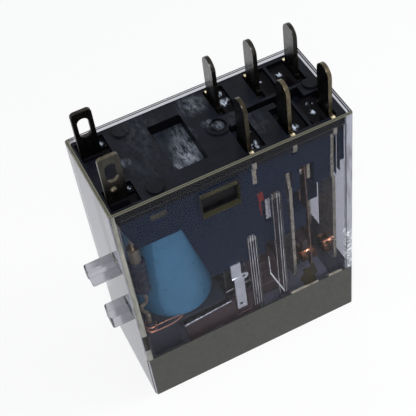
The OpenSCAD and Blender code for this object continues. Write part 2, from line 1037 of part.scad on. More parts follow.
module core() {
    color([0.55, 0.56, 0.58])
        translate([coil_x, 0, 0]) {
            translate([0, 0, pole_z])
                cylinder(d = core_d, h = yoke_under - pole_z);
            translate([0, 0, yoke_under - eps])
                cylinder(d = core_neck_d, h = yoke_t + eps);
            // Head that the yoke is riveted under
            translate([0, 0, yoke_top])
                cylinder(d = core_cap_d, h = core_cap_h);
        }
}

yoke_bend = 1.0;
yoke_beyond = 0.4;
yoke_left = coil_x - core_d / 2 - yoke_beyond;

module yoke() {
    color([0.4, 0.41, 0.43])
        difference() {
            across(-yoke_half, 2 * yoke_half) {
                translate([yoke_x - yoke_t, pole_z])
                    square([yoke_t, yoke_top - yoke_bend - pole_z]);
                translate([yoke_left, yoke_under])
                    square([yoke_x - yoke_bend - yoke_left, yoke_t]);
                translate([yoke_x - yoke_t, yoke_under])
                    square([yoke_t - yoke_bend, yoke_t]);
                translate([yoke_x - yoke_bend, yoke_top - yoke_bend])
                    intersection() {
                        circle(r = yoke_bend);
                        square(yoke_bend);
                    }
                translate([yoke_x - yoke_t, yoke_under - eps])
                    square([yoke_t - eps, yoke_top - yoke_bend - yoke_under + 2 * eps]);
            }
            translate([coil_x, 0, yoke_under - 1])
                cylinder(d = core_neck_d, h = yoke_t + 2);
        }
}

spool_left = -13.6;
spool_right = -2.7;
spool_x = (spool_left + spool_right) / 2;
spool_w = 10.4;
spool_r = 0.8;
foot_z = 6.9;
foot_x = [spool_left + 0.4, -9.35];
foot_t = 0.8;
tube_t = 0.6;
tube_d = core_d + core_fit + 2 * tube_t;

module bobbin() {
    color([0.12, 0.13, 0.16])
        difference() {
            union() {
                translate([spool_x, 0, foot_top])
                    linear_extrude(flange_t)
                        round_rect(spool_right - spool_left, spool_w, spool_r);
                translate([coil_x, 0, coil_high])
                    cylinder(d = coil_d + core_fit, h = flange_t);
                translate([coil_x, 0, foot_top])
                    cylinder(d = tube_d, h = coil_high - foot_top + flange_t);
                // Foot with a cheek on each side of the armature
                both_sides()
                    block([foot_x[0], -spool_w / 2, foot_z],
                          [foot_x[1], -spool_w / 2 + foot_t, foot_top + eps]);
                block([foot_x[0], -spool_w / 2, foot_z],
                      [foot_x[0] + foot_t, spool_w / 2, foot_top + eps]);
                // Bosses that hold the two posts
                for (y = [-post_y, post_y])
                    translate([post_x, y, coil_low - eps])
                        cylinder(d = boss_d, h = boss_h + eps);
            }
            translate([coil_x, 0, 0])
                cylinder(d = core_d + core_fit, h = case_h);
            for (y = [-post_y, post_y])
                translate([post_x, y, coil_low + post_sunk])
                    cylinder(d = post_d, h = boss_h);
        }
}

winding_gap = 0.05;

module coil_layer(inner, outer, gap) {
    translate([coil_x, 0, coil_low + gap])
        difference() {
            cylinder(d = outer, h = coil_high - coil_low - 2 * gap);
            translate([0, 0, -1])
                cylinder(d = inner, h = coil_high - coil_low + 2);
        }
}

module winding() {
    color([0.75, 0.4, 0.25])
        coil_layer(tube_d, coil_d - 2 * tape_t, winding_gap);
}

module coil_tape() {
    color([0.28, 0.45, 0.58])
        coil_layer(coil_d - 2 * tape_t, coil_d, 0);
}

// Armature and card, tilted about the hinge as they lie with no current

module at_rest() {
    translate([hinge_x, 0, hinge_z])
        rotate([0, -rest_tilt, 0])
            translate([-hinge_x, 0, -hinge_z])
                children();
}

armature_low = hinge_z - armature_t;
leg_x = hinge_x + 1.3;
leg_top = 16.4;
leg_half = yoke_half - 0.8;
armature_end = -11.8;
neck_x = -8.75;
neck_half = 4.2;
shelf_x = -2.25;
shelf_fit = 0.35;
shelf_half = inner_w / 2 - shelf_fit;
shelf_t = 0.3;
armature_half = 5.0;

module armature() {
    color([0.6, 0.6, 0.62])
        at_rest() {
            block([armature_end, -neck_half, armature_low], [neck_x + eps, neck_half, hinge_z]);
            block([neck_x, -armature_half, armature_low], [shelf_x, armature_half, hinge_z]);
            // Swaged lip along both sides
            block([neck_x, -shelf_half, hinge_z - shelf_t], [shelf_x, shelf_half, hinge_z]);
            block([shelf_x - eps, -yoke_half, armature_low], [leg_x + armature_t, yoke_half, hinge_z]);
            block([leg_x, -leg_half, armature_low], [leg_x + armature_t, leg_half, leg_top]);
        }
}

rail_low = 6.6;
rail_x1 = 1;
rail_gap = 0.03;
rail_in = neck_half + 0.1;
rail_out = armature_half + rail_gap;
notch_x = [-6.8, -4.2];
notch_h = 0.95;
grip_t = 1.6;
grip_top = leg_top - 0.6;
body_x = 1.6;
body_z = [9.2, 12.6];
body_half = 3.2;
side_x = 0.6;
side_z = [8.4, 10.4];
wing_x = 5.1;
wing_t = 0.7;
wing_out = 4.85;
wing_in = 1.5;
wing_low = 7;
wing_notch = 10.5;
wing_top = 15.1;
wing_cut = 0.5;
arm_half = 1.05;
arm_low = 12.6;
arm_top = 14.9;
bar_t = 0.8;
bar_half = wing_out - 0.2;
bar_low = 13.5;
push_gap = 0.13;
push_x = spring_at(arm_top) - push_gap;
clip_way_x = [yoke_x - 1, yoke_x + 1.1];
clip_way_z = rail_low + 1;

module card_rail() {
    difference() {
        union() {
            block([neck_x, -shelf_half, rail_low], [rail_x1, -rail_out, hinge_z - shelf_t - rail_gap]);
            block([neck_x, -rail_out - eps, rail_low], [rail_x1, -rail_in, armature_low]);
        }
        // Room for the hinge spring beside the rail
        block([clip_way_x[0], -half_w, clip_way_z], [clip_way_x[1], -clip_y + clip_fit, hinge_z + 1]);
        block([notch_x[0], -half_w, rail_low - 1], [notch_x[1], 0, rail_low + notch_h]);
    }
}

// One of the two wings across the case, seen along it
module wing_outline() {
    polygon([
        [-wing_out, wing_low],
        [-wing_out, wing_top - wing_cut],
        [-wing_out + wing_cut, wing_top],
        [-2 * wing_in, wing_top],
        [-wing_in, wing_notch],
        [eps, wing_notch],
        [eps, wing_low]
    ]);
}

module card() {
    color([0.35, 0.16, 0.14])
        union() {
            at_rest() {
                // Rails under the edges of the armature
                both_sides()
                    card_rail();
                // Grip on the armature's leg
                block([leg_x + armature_t, -body_half, body_z[0]],
                      [leg_x + armature_t + grip_t, body_half, grip_top]);
            }
            // Body between the grip and the wings
            block([body_x, -body_half, body_z[0]], [wing_x + eps, body_half, body_z[1]]);
            both_sides() {
                block([side_x, -wing_out, side_z[0]], [wing_x + eps, -rail_in, side_z[1]]);
                block([body_x, -rail_in - eps, body_z[0]], [wing_x + eps, -body_half + eps, side_z[1]]);
                translate([wing_x, 0, 0])
                    rotate([90, 0, 90])
                        linear_extrude(wing_t)
                            wing_outline();
            }
            // Arm between the poles, and the bar that pushes the springs
            block([body_x, -arm_half, wing_notch - eps], [wing_x + wing_t, arm_half, arm_top]);
            block([wing_x, -arm_half, arm_low], [push_x, arm_half, arm_top]);
            block([push_x - bar_t, -bar_half, bar_low], [push_x, bar_half, arm_top]);
        }
}

clip_t = 0.2;
clip_y = inner_w / 2 - 0.35;
clip_fit = 0.12;
clip_w = 1.3;
clip_low = 9.1;
clip_bend = 15.3;
clip_high = 18;
clip_x0 = yoke_x - 0.5;
clip_head_x0 = yoke_x - 0.77;
clip_hole = 0.45;
clip_hole_at = [yoke_x + 0.05, clip_low + 0.9];
ear_d = 1.1;
ear_at = [yoke_x + 0.85, clip_bend - 0.1];
fold_d = 0.3;
fold_out = 0.05;
bridge_z = [13.2, 15];

// Side plate of the hinge spring, seen from the front
module clip_plate() {
    difference() {
        union() {
            translate([clip_x0, clip_low])
                square([clip_w, clip_bend - clip_low + eps]);
            translate([clip_head_x0, clip_bend])
                square([clip_w, clip_high - clip_bend]);
            translate(ear_at)
                circle(d = ear_d);
        }
        for (place = [clip_hole_at, ear_at])
            translate(place)
                circle(d = clip_hole);
    }
}

module hinge_spring() {
    color([0.8, 0.81, 0.83])
        union() {
            // Bridge behind the yoke, from one side plate to the other
            block([yoke_x, -clip_y - clip_t, bridge_z[0]], [yoke_x + clip_t, clip_y + clip_t, bridge_z[1]]);
            both_sides() {
                across(-clip_y - clip_t, clip_t)
                    clip_plate();
                // Fold across the plate
                translate([clip_head_x0, -clip_y - clip_t + fold_out, clip_bend])
                    rotate([0, 90, 0])
                        cylinder(d = fold_d, h = clip_w);
            }
        }
}

// Coil leads, posts and diode

post_x = -12.6;
post_y = 4.75;
post_d = 0.6;
post_top = 15.1;
post_sunk = 0.3;
boss_d = 1.15;
boss_h = 1.3;
lead_d = 0.45;
wire_d = 0.14;

module coil_post() {
    h = post_top - post_d / 2 - coil_low - post_sunk;
    translate([post_x, -post_y, coil_low + post_sunk]) {
        cylinder(d = post_d, h = h);
        translate([0, 0, h])
            sphere(d = post_d);
    }
}

module coil_post_front() {
    color([0.75, 0.75, 0.75])
        coil_post();
}

module coil_post_back() {
    color([0.75, 0.75, 0.75])
        on_side(true)
            coil_post();
}

// A thin wire from the coil to the boss of a post, with one and a half turns round it,
// which start at height z and rise a little at each point
turn_points = 8;
turn_fit = 0.02;
wire_bow = 2.4;
wire_lift = [0.1, boss_h - 0.15];
coil_wire_x = coil_x - 1;
coil_wire_z = [0.1, 0.35];

module lead_wire(z, rise, coil_z) {
    r = boss_d / 2 + wire_d / 2 + turn_fit;
    turns = [for (k = [0 : 1.5 * turn_points])
        let (a = -90 - 360 * k / turn_points)
        [post_x + r * cos(a), -post_y + r * sin(a), z + k * rise]];
    start = [
        [coil_wire_x, -coil_d / 2 - wire_d, coil_z],
        [post_x + wire_bow, -post_y - r, z]
    ];
    wire(concat(start, turns), wire_d, [0, 0, 1]);
}

module coil_lead_wires() {
    rise = 1.3 * wire_d / turn_points;
    color([0.75, 0.4, 0.3]) {
        lead_wire(coil_low + wire_lift[0], rise, coil_low + coil_wire_z[0]);
        lead_wire(coil_low + wire_lift[1], -rise, coil_low + coil_wire_z[1]);
    }
}

diode_x = -12.45;
diode_y = 4.55;
diode_d = 2;
diode_low = 19.6;
diode_top = 25.2;
diode_cap = 0.35;
sleeve_d = 1.35;
sleeve_h = 2.3;
tail_gap = 0.04;
tail_y = row_y + blade_t / 2 + lead_d / 2 + tail_gap;
tail_lap = 1.6;

module diode() {
    r = diode_d / 2;
    h = diode_top - diode_low;
    color([0.1, 0.1, 0.14])
        translate([diode_x, -diode_y, diode_low])
            rotate_extrude()
                polygon([
                    [0, 0],
                    [r - diode_cap, 0],
                    [r - diode_cap / 3, diode_cap / 3],
                    [r, diode_cap],
                    [r, h - diode_cap],
                    [r - diode_cap / 3, h - diode_cap / 3],
                    [r - diode_cap, h],
                    [0, h]
                ]);
}

module diode_leads() {
    color([0.7, 0.68, 0.6]) {
        wire([[diode_x, -diode_y, diode_top],
              [diode_x, -diode_y, diode_top + 1.4],
              [diode_x, -diode_y, diode_top + 2.8],
              [coil_pin_x, -tail_y, coil_tail_z + 0.4],
              [coil_pin_x, -tail_y, coil_tail_z + tail_lap]], lead_d);
        // Sleeve over the upper lead
        translate([diode_x, -diode_y, diode_top + eps])
            cylinder(d = sleeve_d, h = sleeve_h);
        wire([[diode_x, -diode_y, diode_low],
              [diode_x, -diode_y, diode_low - 0.8],
              [diode_x + 0.15, -diode_y, diode_low - 1.8],
              [diode_x - 0.1, -diode_y, diode_low - 2.6],
              [diode_x - 0.7, -diode_y, diode_low - 3],
              [post_x - 0.5, -post_y, post_top + 0.9],
              [post_x, -post_y, post_top + lead_d / 2]], lead_d);
    }
}

module back_lead() {
    color([0.7, 0.68, 0.6])
        wire([[coil_pin_x, tail_y, coil_tail_z + tail_lap],
              [coil_pin_x, tail_y, coil_tail_z],
              [post_x, post_y, coil_tail_z - 2],
              [post_x, post_y, post_top]], lead_d);
}

cover();
nameplate();
base();
sealing_resin();
coil_terminal_front();
coil_terminal_back();
nc_terminal_front();
nc_terminal_back();
com_terminal_front();
com_terminal_back();
no_terminal_front();
no_terminal_back();
nc_contact_front();
nc_contact_back();
no_contact_front();
no_contact_back();
contact_spring_front();
contact_spring_back();
moving_contact_front();
moving_contact_back();
core();
yoke();
bobbin();
winding();
coil_tape();
armature();
card();
hinge_spring();
coil_post_front();
coil_post_back();
coil_lead_wires();
back_lead();
diode();
diode_leads();
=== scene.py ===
"""Slim two-pole plug-in relay in a clear case, standing on its closed end, on a pale floor."""

import math

import bmesh
import bpy
from mathutils import Matrix, Vector


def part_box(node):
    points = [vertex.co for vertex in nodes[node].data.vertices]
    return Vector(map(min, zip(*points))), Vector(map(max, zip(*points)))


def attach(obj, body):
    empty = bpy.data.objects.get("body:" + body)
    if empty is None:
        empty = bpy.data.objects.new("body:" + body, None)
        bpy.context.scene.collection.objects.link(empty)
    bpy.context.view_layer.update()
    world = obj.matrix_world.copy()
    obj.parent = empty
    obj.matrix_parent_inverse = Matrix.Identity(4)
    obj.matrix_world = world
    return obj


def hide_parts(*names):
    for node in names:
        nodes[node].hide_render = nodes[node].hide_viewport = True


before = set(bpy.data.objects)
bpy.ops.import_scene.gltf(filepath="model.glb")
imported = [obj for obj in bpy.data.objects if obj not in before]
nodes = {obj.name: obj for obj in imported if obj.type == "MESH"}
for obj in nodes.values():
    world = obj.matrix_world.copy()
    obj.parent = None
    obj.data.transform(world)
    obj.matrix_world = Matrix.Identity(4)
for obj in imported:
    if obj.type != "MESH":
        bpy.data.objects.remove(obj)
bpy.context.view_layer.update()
scene = bpy.context.scene

MM = 0.001


def box_mm(node):
    low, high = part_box(node)
    return [c / MM for c in low], [c / MM for c in high]


# Places on the part, in millimetres, read from the frame where it has them
HALF_L, HALF_W, BAND_Z = box_mm("nameplate")[1]
RIM_Z = box_mm("cover")[1][2]
RESIN_TOP = box_mm("sealing_resin")[1][2]
BASE_TOP = 35.2
WALL = 0.7
WALL_IN = HALF_W - WALL
END_WALL = 1.0
LIP = 0.4
RIB_T = 0.3
RIBS_X = (1.25, 4.75)
RIB_HALF = 0.58
RIB_TOPS = (21.9, 27.5)
WINDOW_X = (-4.3, 0.2)
WINDOW_Z = (29.2, 32.4)
LEDGES_X = ((5.6, 9.4), (11.0, 12.8))
LEDGES_Z = (6.6, 7.4)

# How far masks reach past a face, and how soft or thick the finest of them are
MARGIN = 0.05
THIN = 0.02

# A face starts to count as facing an axis at the first of these shares of its normal, fully at the second
FACING = (0.6, 0.8)


# Materials

class Look:
    """A node material on object coordinates, in millimetres."""

    def __init__(self, name, colour, roughness, metallic=0.0, specular=0.5):
        self.material = bpy.data.materials.new(name)
        self.material.use_nodes = True
        self.tree = self.material.node_tree
        self.shader = self.tree.nodes["Principled BSDF"]
        self.shader.inputs["Base Color"].default_value = (*colour, 1)
        self.shader.inputs["Roughness"].default_value = roughness
        self.shader.inputs["Metallic"].default_value = metallic
        self.shader.inputs["Specular IOR Level"].default_value = specular
        self.coordinates = self.add("ShaderNodeTexCoord")
        scale = self.add("ShaderNodeVectorMath", operation="SCALE")
        scale.inputs["Scale"].default_value = 1 / MM
        self.link(self.coordinates.outputs["Object"], scale.inputs[0])
        self.place = scale.outputs["Vector"]
        self.x, self.y, self.z = self.parts(self.place)
        self.nx, self.ny, self.nz = self.parts(self.coordinates.outputs["Normal"])
        self.height = None

    def add(self, kind, **settings):
        node = self.tree.nodes.new(kind)
        for key, value in settings.items():
            setattr(node, key, value)
        return node

    def link(self, a, b):
        self.tree.links.new(a, b)

    def put(self, value, socket):
        """Sets a socket to a number or a colour, or links it to another node's output."""
        if isinstance(value, tuple):
            socket.default_value = (*value, 1)
        elif isinstance(value, (int, float)):
            socket.default_value = value
        else:
            self.link(value, socket)

    def parts(self, vector):
        node = self.add("ShaderNodeSeparateXYZ")
        self.link(vector, node.inputs[0])
        return node.outputs

    def sums(self, operation, a, b=0.0):
        node = self.add("ShaderNodeMath", operation=operation)
        self.put(a, node.inputs[0])
        self.put(b, node.inputs[1])
        return node.outputs[0]

    def plus(self, a, b):
        return self.sums("ADD", a, b)

    def minus(self, a, b):
        return self.sums("SUBTRACT", a, b)

    def times(self, a, b):
        return self.sums("MULTIPLY", a, b)

    def size(self, value):
        return self.sums("ABSOLUTE", value)

    def both(self, *masks):
        total = masks[0]
        for mask in masks[1:]:
            total = self.times(total, mask)
        return total

    def either(self, *masks):
        total = masks[0]
        for mask in masks[1:]:
            total = self.sums("MAXIMUM", total, mask)
        return total

    def spread(self, value, low, high, to_low, to_high):
        """Takes the range from low to high to the one from to_low to to_high, and no further."""
        node = self.add("ShaderNodeMapRange")
        settings = {"From Min": low, "From Max": high, "To Min": to_low, "To Max": to_high}
        for key, number in settings.items():
            node.inputs[key].default_value = number
        self.link(value, node.inputs["Value"])
        return node.outputs["Result"]

    def over(self, value, level, rise=0.1):
        """1 above a level, reached over a short rise."""
        return self.spread(value, level, level + rise, 0, 1)

    def under(self, value, level, fall=0.1):
        """1 below a level, gone over a short fall."""
        return self.spread(value, level, level + fall, 1, 0)

    def opposite(self, mask):
        return self.spread(mask, 0, 1, 1, 0)

    def within(self, value, low, high, soft=0.03):
        """1 between low and high, fading to 0 over a soft edge."""
        return self.both(self.over(value, low - soft, 2 * soft), self.under(value, high - soft, 2 * soft))

    def facing(self, part):
        """1 on faces that point along an axis, to either side."""
        return self.over(self.size(part), FACING[0], FACING[1] - FACING[0])

    def near(self, place, radius, soft=0.3):
        """1 round a place, fading to 0 across a radius."""
        node = self.add("ShaderNodeVectorMath", operation="DISTANCE")
        self.link(self.place, node.inputs[0])
        node.inputs[1].default_value = place
        return self.under(node.outputs["Value"], radius * (1 - soft), 2 * radius * soft)

    def noise(self, size, detail=3, rough=0.55, stretch=None):
        """Noise between 0 and 1 whose blobs are about size millimetres."""
        node = self.add("ShaderNodeTexNoise")
        node.inputs["Scale"].default_value = 1 / size
        node.inputs["Detail"].default_value = detail
        node.inputs["Roughness"].default_value = rough
        vector = self.place
        if stretch:
            stretched = self.add("ShaderNodeVectorMath", operation="MULTIPLY")
            stretched.inputs[1].default_value = stretch
            self.link(self.place, stretched.inputs[0])
            vector = stretched.outputs["Vector"]
        self.link(vector, node.inputs["Vector"])
        return node.outputs["Fac"]

    def mixed(self, factor, a, b):
        node = self.add("ShaderNodeMix", data_type="RGBA")
        self.link(factor, node.inputs["Factor"])
        self.put(a, node.inputs[6])
        self.put(b, node.inputs[7])
        return node.outputs[2]

    def paint(self, colour):
        self.link(colour, self.shader.inputs["Base Color"])

    def rough(self, value, low, high):
        self.link(self.spread(value, 0.3, 0.7, low, high), self.shader.inputs["Roughness"])

    def bump(self, value, depth):
        node = self.add("ShaderNodeBump")
        node.inputs["Distance"].default_value = depth * MM
        node.inputs["Strength"].default_value = 1.0
        self.link(value, node.inputs["Height"])
        if self.height:
            self.link(self.height, node.inputs["Normal"])
        self.height = node.outputs["Normal"]
        self.link(self.height, self.shader.inputs["Normal"])


def shade(colour, factor):
    return tuple(min(c * factor, 1) for c in colour)


def mottled(look, colour, amount, size=2.5):
    patches = look.spread(look.noise(size, detail=4), 0.3, 0.7, 0, 1)
    return look.mixed(patches, shade(colour, 1 - amount), shade(colour, 1 + amount))


def streaked(look, streaks, colour, dark, bright):
    return look.mixed(streaks, shade(colour, dark), shade(colour, bright))


def moulded(name, colour, roughness, mottle=0.15, specular=0.2):
    look = Look(name, colour, roughness, specular=specular)
    look.paint(mottled(look, colour, mottle))
    look.rough(look.noise(0.8, detail=5), roughness * 0.8, roughness * 1.25)
    look.bump(look.noise(0.12), depth=0.004)
    return look


def metal(name, colour, roughness, tarnish, amount=0.5, brush=(1, 1, 0.2)):
    look = Look(name, colour, roughness, metallic=1.0)
    stain = look.spread(look.noise(1.2, detail=5), 0.4, 0.7, 0, amount)
    look.paint(look.mixed(stain, colour, tarnish))
    look.rough(look.noise(0.6, detail=4), roughness * 0.75, roughness * 1.35)
    look.bump(look.noise(0.15, stretch=brush), depth=0.004)
    return look


# The case: clear and slightly smoky, with marks where it is cut or thick, and painted light, shade and
# reflections where it is seen edge on or catches the light

CASE_TINT = (0.58, 0.585, 0.635)
THICK_SHADE = 0.55
WALL_SHADE = (0.84, 0.845, 0.87)
CASE_IOR = 1.13
CUT_OLIVE = (0.045, 0.041, 0.024)
CORNER_LIGHT_CREAM = (0.33, 0.325, 0.29)
CORNER_W, CORNER_LEAN = 0.8, 0.25
SHADE_BREAK_Z = (10.3, 13.1)
EDGE_ON_LIGHT_LILAC = (0.36, 0.36, 0.42)
END_REFLECTION_LILAC = (0.28, 0.28, 0.34)
RIB_BODY = (0.075, 0.06, 0.07)
CAP_LIGHT_OLIVE = (0.16, 0.14, 0.11)
CAP = 1.1
HIGHLIGHT_WHITE = (0.8, 0.82, 0.85)
RIB_LINES = ((0.1, 0.2), (0.42, 0.5))
RIGHT_LINE = (0.12, 0.2)
# A painted highlight line, as bends given by x and z, with half widths for its two stretches
HIGHLIGHT_LINE = ((3.09, 16.9), (3.17, 13.5), (4.95, 8.3))
HIGHLIGHT_LINE_HALVES = (0.06, 0.09)
LEDGE_CREAM_AND_LIGHT = (0.4, 0.37, 0.31)
LEDGE_GLOW = 0.42
SPARKLE_W, SPARKLE_TOP = 1.2, 15.5
# A painted amber reflection, in a patch on the front wall
AMBER_REFLECTION = (0.055, 0.042, 0.018)
AMBER_X, AMBER_Z = (7.7, 9.3), (7.6, 11.3)
AMBER_DEEP = 0.35
RIM_LIGHT_CREAM = (0.2, 0.19, 0.145)
PAINTED_SHADE_DARK = (0.02, 0.02, 0.018)
RIM_LIT_OLIVE = (0.09, 0.087, 0.068)
RIM_LINE = 0.12
# Painted shade on the case's rounded edges
EDGE_SHADE = (0.08, 0.077, 0.055)


def let_lamps_through(look):
    """Makes a clear piece cast only a light shadow."""
    clear = look.add("ShaderNodeBsdfTransparent")
    clear.inputs["Color"].default_value = (*WALL_SHADE, 1)
    path = look.add("ShaderNodeLightPath")
    mix = look.add("ShaderNodeMixShader")
    look.link(path.outputs["Is Shadow Ray"], mix.inputs[0])
    look.link(look.shader.outputs[0], mix.inputs[1])
    look.link(clear.outputs[0], mix.inputs[2])
    look.link(mix.outputs[0], look.tree.nodes["Material Output"].inputs["Surface"])


def cloudy(look):
    return look.spread(look.noise(0.6, detail=4, stretch=(1, 1, 0.2)), 0.35, 0.55, 0.6, 1)


def inner_face(look):
    """1 on the inward faces of the ribs and ledges."""
    return look.within(look.size(look.y), WALL_IN - RIB_T - MARGIN, WALL_IN - THIN, THIN)


def stroke(look, start, end, half):
    """1 along a straight line on a long wall, between two places given as x and z."""
    slope = (end[0] - start[0]) / (end[1] - start[1])
    line = look.minus(look.minus(look.x, start[0]), look.times(look.minus(look.z, start[1]), slope))
    low, high = sorted((start[1], end[1]))
    return look.both(look.within(line, -half, half), look.within(look.z, low, high))


# Each function of marks gives masks with their colour and how opaque they are; later ones lie over earlier

def end_reflection_and_light_marks(look):
    """Painted reflection on the coil end's wall from outside, and painted light on the other walls where
    they are seen edge on.
    """
    outside = look.both(look.facing(look.nx), look.under(look.x, -HALF_L + 0.1),
                        look.over(look.x, -HALF_L - 0.1, MARGIN),
                        look.spread(look.noise(2.5, stretch=(1, 1, 0.5)), 0.3, 0.7, 0.7, 1))
    end_wall = look.both(look.over(look.x, HALF_L - END_WALL), look.facing(look.ny))
    long_wall = look.both(look.over(look.size(look.y), WALL_IN), look.facing(look.nx),
                          look.over(look.z, BAND_Z - 0.1))
    edge_on_light = look.both(look.either(end_wall, long_wall), cloudy(look),
                        look.within(look.x, -HALF_L - 0.1, HALF_L + 0.1))
    return [(outside, END_REFLECTION_LILAC, 0.3), (edge_on_light, EDGE_ON_LIGHT_LILAC, 0.9)]


def window_marks(look):
    """The cut faces of the latch windows."""
    reach = 3 * MARGIN
    cut = look.both(look.within(look.x, WINDOW_X[0] - reach, WINDOW_X[1] + reach),
                    look.within(look.z, WINDOW_Z[0] - reach, WINDOW_Z[1] + reach),
                    look.opposite(look.facing(look.ny)))
    return [(cut, CUT_OLIVE, 0.9)]


def corner_light_and_shade_marks(look):
    """Painted light in the strip where the coil end's wall is seen edge on, and a painted shade break in it.
    """
    leaning = look.plus(look.x, look.spread(look.z, BAND_Z, RIM_Z, 0, CORNER_LEAN))
    lit_strip = look.both(look.within(leaning, -HALF_L, -HALF_L + CORNER_W, MARGIN),
                      look.facing(look.ny), cloudy(look))
    shade_break = look.both(look.times(look.within(look.z, *SHADE_BREAK_Z, 0.2), 0.9),
                      look.spread(look.noise(0.5), 0.4, 0.55, 0.4, 1), lit_strip)
    return [(lit_strip, CORNER_LIGHT_CREAM, 0.75), (shade_break, PAINTED_SHADE_DARK, 0.9)]


def rib_marks(look):
    """The ribs inside the long walls, with painted light on their rounded tops and painted highlight lines
    along them.
    """
    on_rib = look.both(inner_face(look), look.over(look.z, BAND_Z, 0.2))
    widths = [look.within(look.x, x - RIB_HALF, x + RIB_HALF) for x in RIBS_X]
    ends = [look.within(look.z, top - CAP, top + MARGIN, 0.1) for top in RIB_TOPS]
    caps = look.either(*[look.both(width, end) for width, end in zip(widths, ends)])
    beside = [look.minus(look.x, x) for x in RIBS_X]
    lines = look.either(*[look.within(look.size(beside[0]), *line, THIN) for line in RIB_LINES],
                        look.within(beside[1], *RIGHT_LINE, THIN),
                        look.within(look.size(beside[1]), *RIB_LINES[1], THIN))
    streaks = look.both(on_rib, lines, look.under(look.z, RIB_TOPS[1] - 0.2, 0.2),
                        look.spread(look.noise(0.9, stretch=(2, 1, 0.25)), 0.35, 0.6, 0.1, 1))
    return [(look.both(on_rib, look.either(*widths)), RIB_BODY, 0.3),
            (look.both(caps, on_rib), CAP_LIGHT_OLIVE, 0.55), (streaks, HIGHLIGHT_WHITE, 0.5)]


def highlight_line_marks(look):
    """A painted highlight along a bright bent line beside the ribs."""
    bends = zip(HIGHLIGHT_LINE, HIGHLIGHT_LINE[1:], HIGHLIGHT_LINE_HALVES)
    highlight_line = look.both(look.either(*[stroke(look, *bend) for bend in bends]),
                     look.within(look.y, -WALL_IN - 0.1, -WALL_IN + RIB_T + MARGIN),
                     look.spread(look.noise(1.0), 0.3, 0.5, 0.4, 1))
    return [(highlight_line, HIGHLIGHT_WHITE, 0.6)]


def ledge_and_light_marks(look):
    """The cream ledges above the band, and painted light on the wall that they light."""
    low, high = LEDGES_Z
    ledge = look.both(inner_face(look), look.within(look.z, low - MARGIN, high + MARGIN))
    lit_wall = look.both(look.facing(look.ny), look.within(look.z, BAND_Z, BAND_Z + LEDGE_GLOW, 0.04),
                     look.over(look.size(look.y), WALL_IN))
    along = look.either(*[look.within(look.x, a - MARGIN, b + MARGIN) for a, b in LEDGES_X])
    uneven = look.spread(look.noise(1.2), 0.3, 0.6, 0.5, 1)
    return [(look.both(look.either(ledge, lit_wall), along, uneven), LEDGE_CREAM_AND_LIGHT, 0.7)]


def sparkle_marks(look):
    """Painted glints on the low corner at the contact end."""
    specks = look.spread(look.noise(0.5, detail=5, rough=0.7), 0.52, 0.58, 0, 1)
    sparkle = look.both(look.within(look.x, HALF_L - SPARKLE_W, HALF_L - 0.1),
                        look.within(look.z, BAND_Z, SPARKLE_TOP, 0.3), specks, look.facing(look.ny))
    return [(sparkle, HIGHLIGHT_WHITE, 0.8)]


def reflection_patch_marks(look):
    """A painted amber reflection in a patch on the front wall."""
    ragged = look.spread(look.noise(1.1, detail=4), 0.3, 0.7, -0.5, 0.5)
    reflection_patch = look.both(look.within(look.plus(look.x, ragged), *AMBER_X, 0.25),
                        look.within(look.plus(look.z, ragged), *AMBER_Z, 0.4),
                        look.over(look.y, -WALL_IN - 0.1, MARGIN),
                        look.under(look.y, -WALL_IN + AMBER_DEEP, MARGIN))
    return [(reflection_patch, AMBER_REFLECTION, 0.6)]


def rim_light_and_shade_marks(look):
    """The rim's upper face, painted by how it catches the light: on the two near sides, painted light lines
    along both its edges over a painted lit olive fill; on the far sides, painted shade lines; and painted
    light across the far end.
    """
    on_top = look.both(look.over(look.z, RIM_Z - 0.15, MARGIN), look.over(look.nz, 0.3, 0.2))
    far_end = look.both(on_top, look.over(look.x, HALF_L - LIP - MARGIN, MARGIN))
    near_side = look.either(look.under(look.y, -HALF_W + LIP), look.under(look.x, -HALF_L + LIP))
    lines = []
    for value, outside in ((look.size(look.y), HALF_W), (look.size(look.x), HALF_L)):
        for edge in (outside, outside - LIP + RIM_LINE):
            lines.append(look.within(value, edge - RIM_LINE, edge, THIN))
    on_line = look.both(on_top, look.either(*lines))
    return [(far_end, EDGE_ON_LIGHT_LILAC, 0.8), (look.both(on_top, near_side), RIM_LIT_OLIVE, 0.6),
            (look.both(on_line, near_side), RIM_LIGHT_CREAM, 0.85),
            (look.both(on_line, look.opposite(near_side)), PAINTED_SHADE_DARK, 0.85)]


CASE_MARKS = (end_reflection_and_light_marks, window_marks, corner_light_and_shade_marks, rib_marks, highlight_line_marks, ledge_and_light_marks, sparkle_marks,
              reflection_patch_marks, rim_light_and_shade_marks)


def clear_case():
    look = Look("clear_case", CASE_TINT, 0.03)
    look.shader.inputs["IOR"].default_value = CASE_IOR
    nibs = look.under(look.x, -HALF_L - 0.2)
    end_wall = look.within(look.x, -HALF_L - 0.1, -HALF_L + END_WALL + MARGIN)
    thick = look.both(end_wall, look.spread(look.z, BAND_Z, RIM_Z, 0.5, 1))
    darker = look.either(thick, look.times(nibs, 0.45))
    colour = look.mixed(darker, CASE_TINT, shade(CASE_TINT, THICK_SHADE))
    opaque = 0.0
    for marks in CASE_MARKS:
        for mask, tone, share in marks(look):
            colour = look.mixed(look.spread(mask, 0, 0.3, 0, 1), colour, tone)
            opaque = look.either(opaque, look.times(mask, share))
    look.paint(colour)
    look.link(look.opposite(opaque), look.shader.inputs["Transmission Weight"])
    scuffs = look.spread(look.noise(1.5, detail=6, rough=0.7), 0.5, 0.8, 0, 0.04)
    frost = look.both(nibs, look.spread(look.noise(0.5, detail=4), 0, 1, 0.12, 0.3))
    look.link(look.either(frost, scuffs), look.shader.inputs["Roughness"])
    look.bump(look.noise(6, detail=2), depth=0.004)
    let_lamps_through(look)
    return look


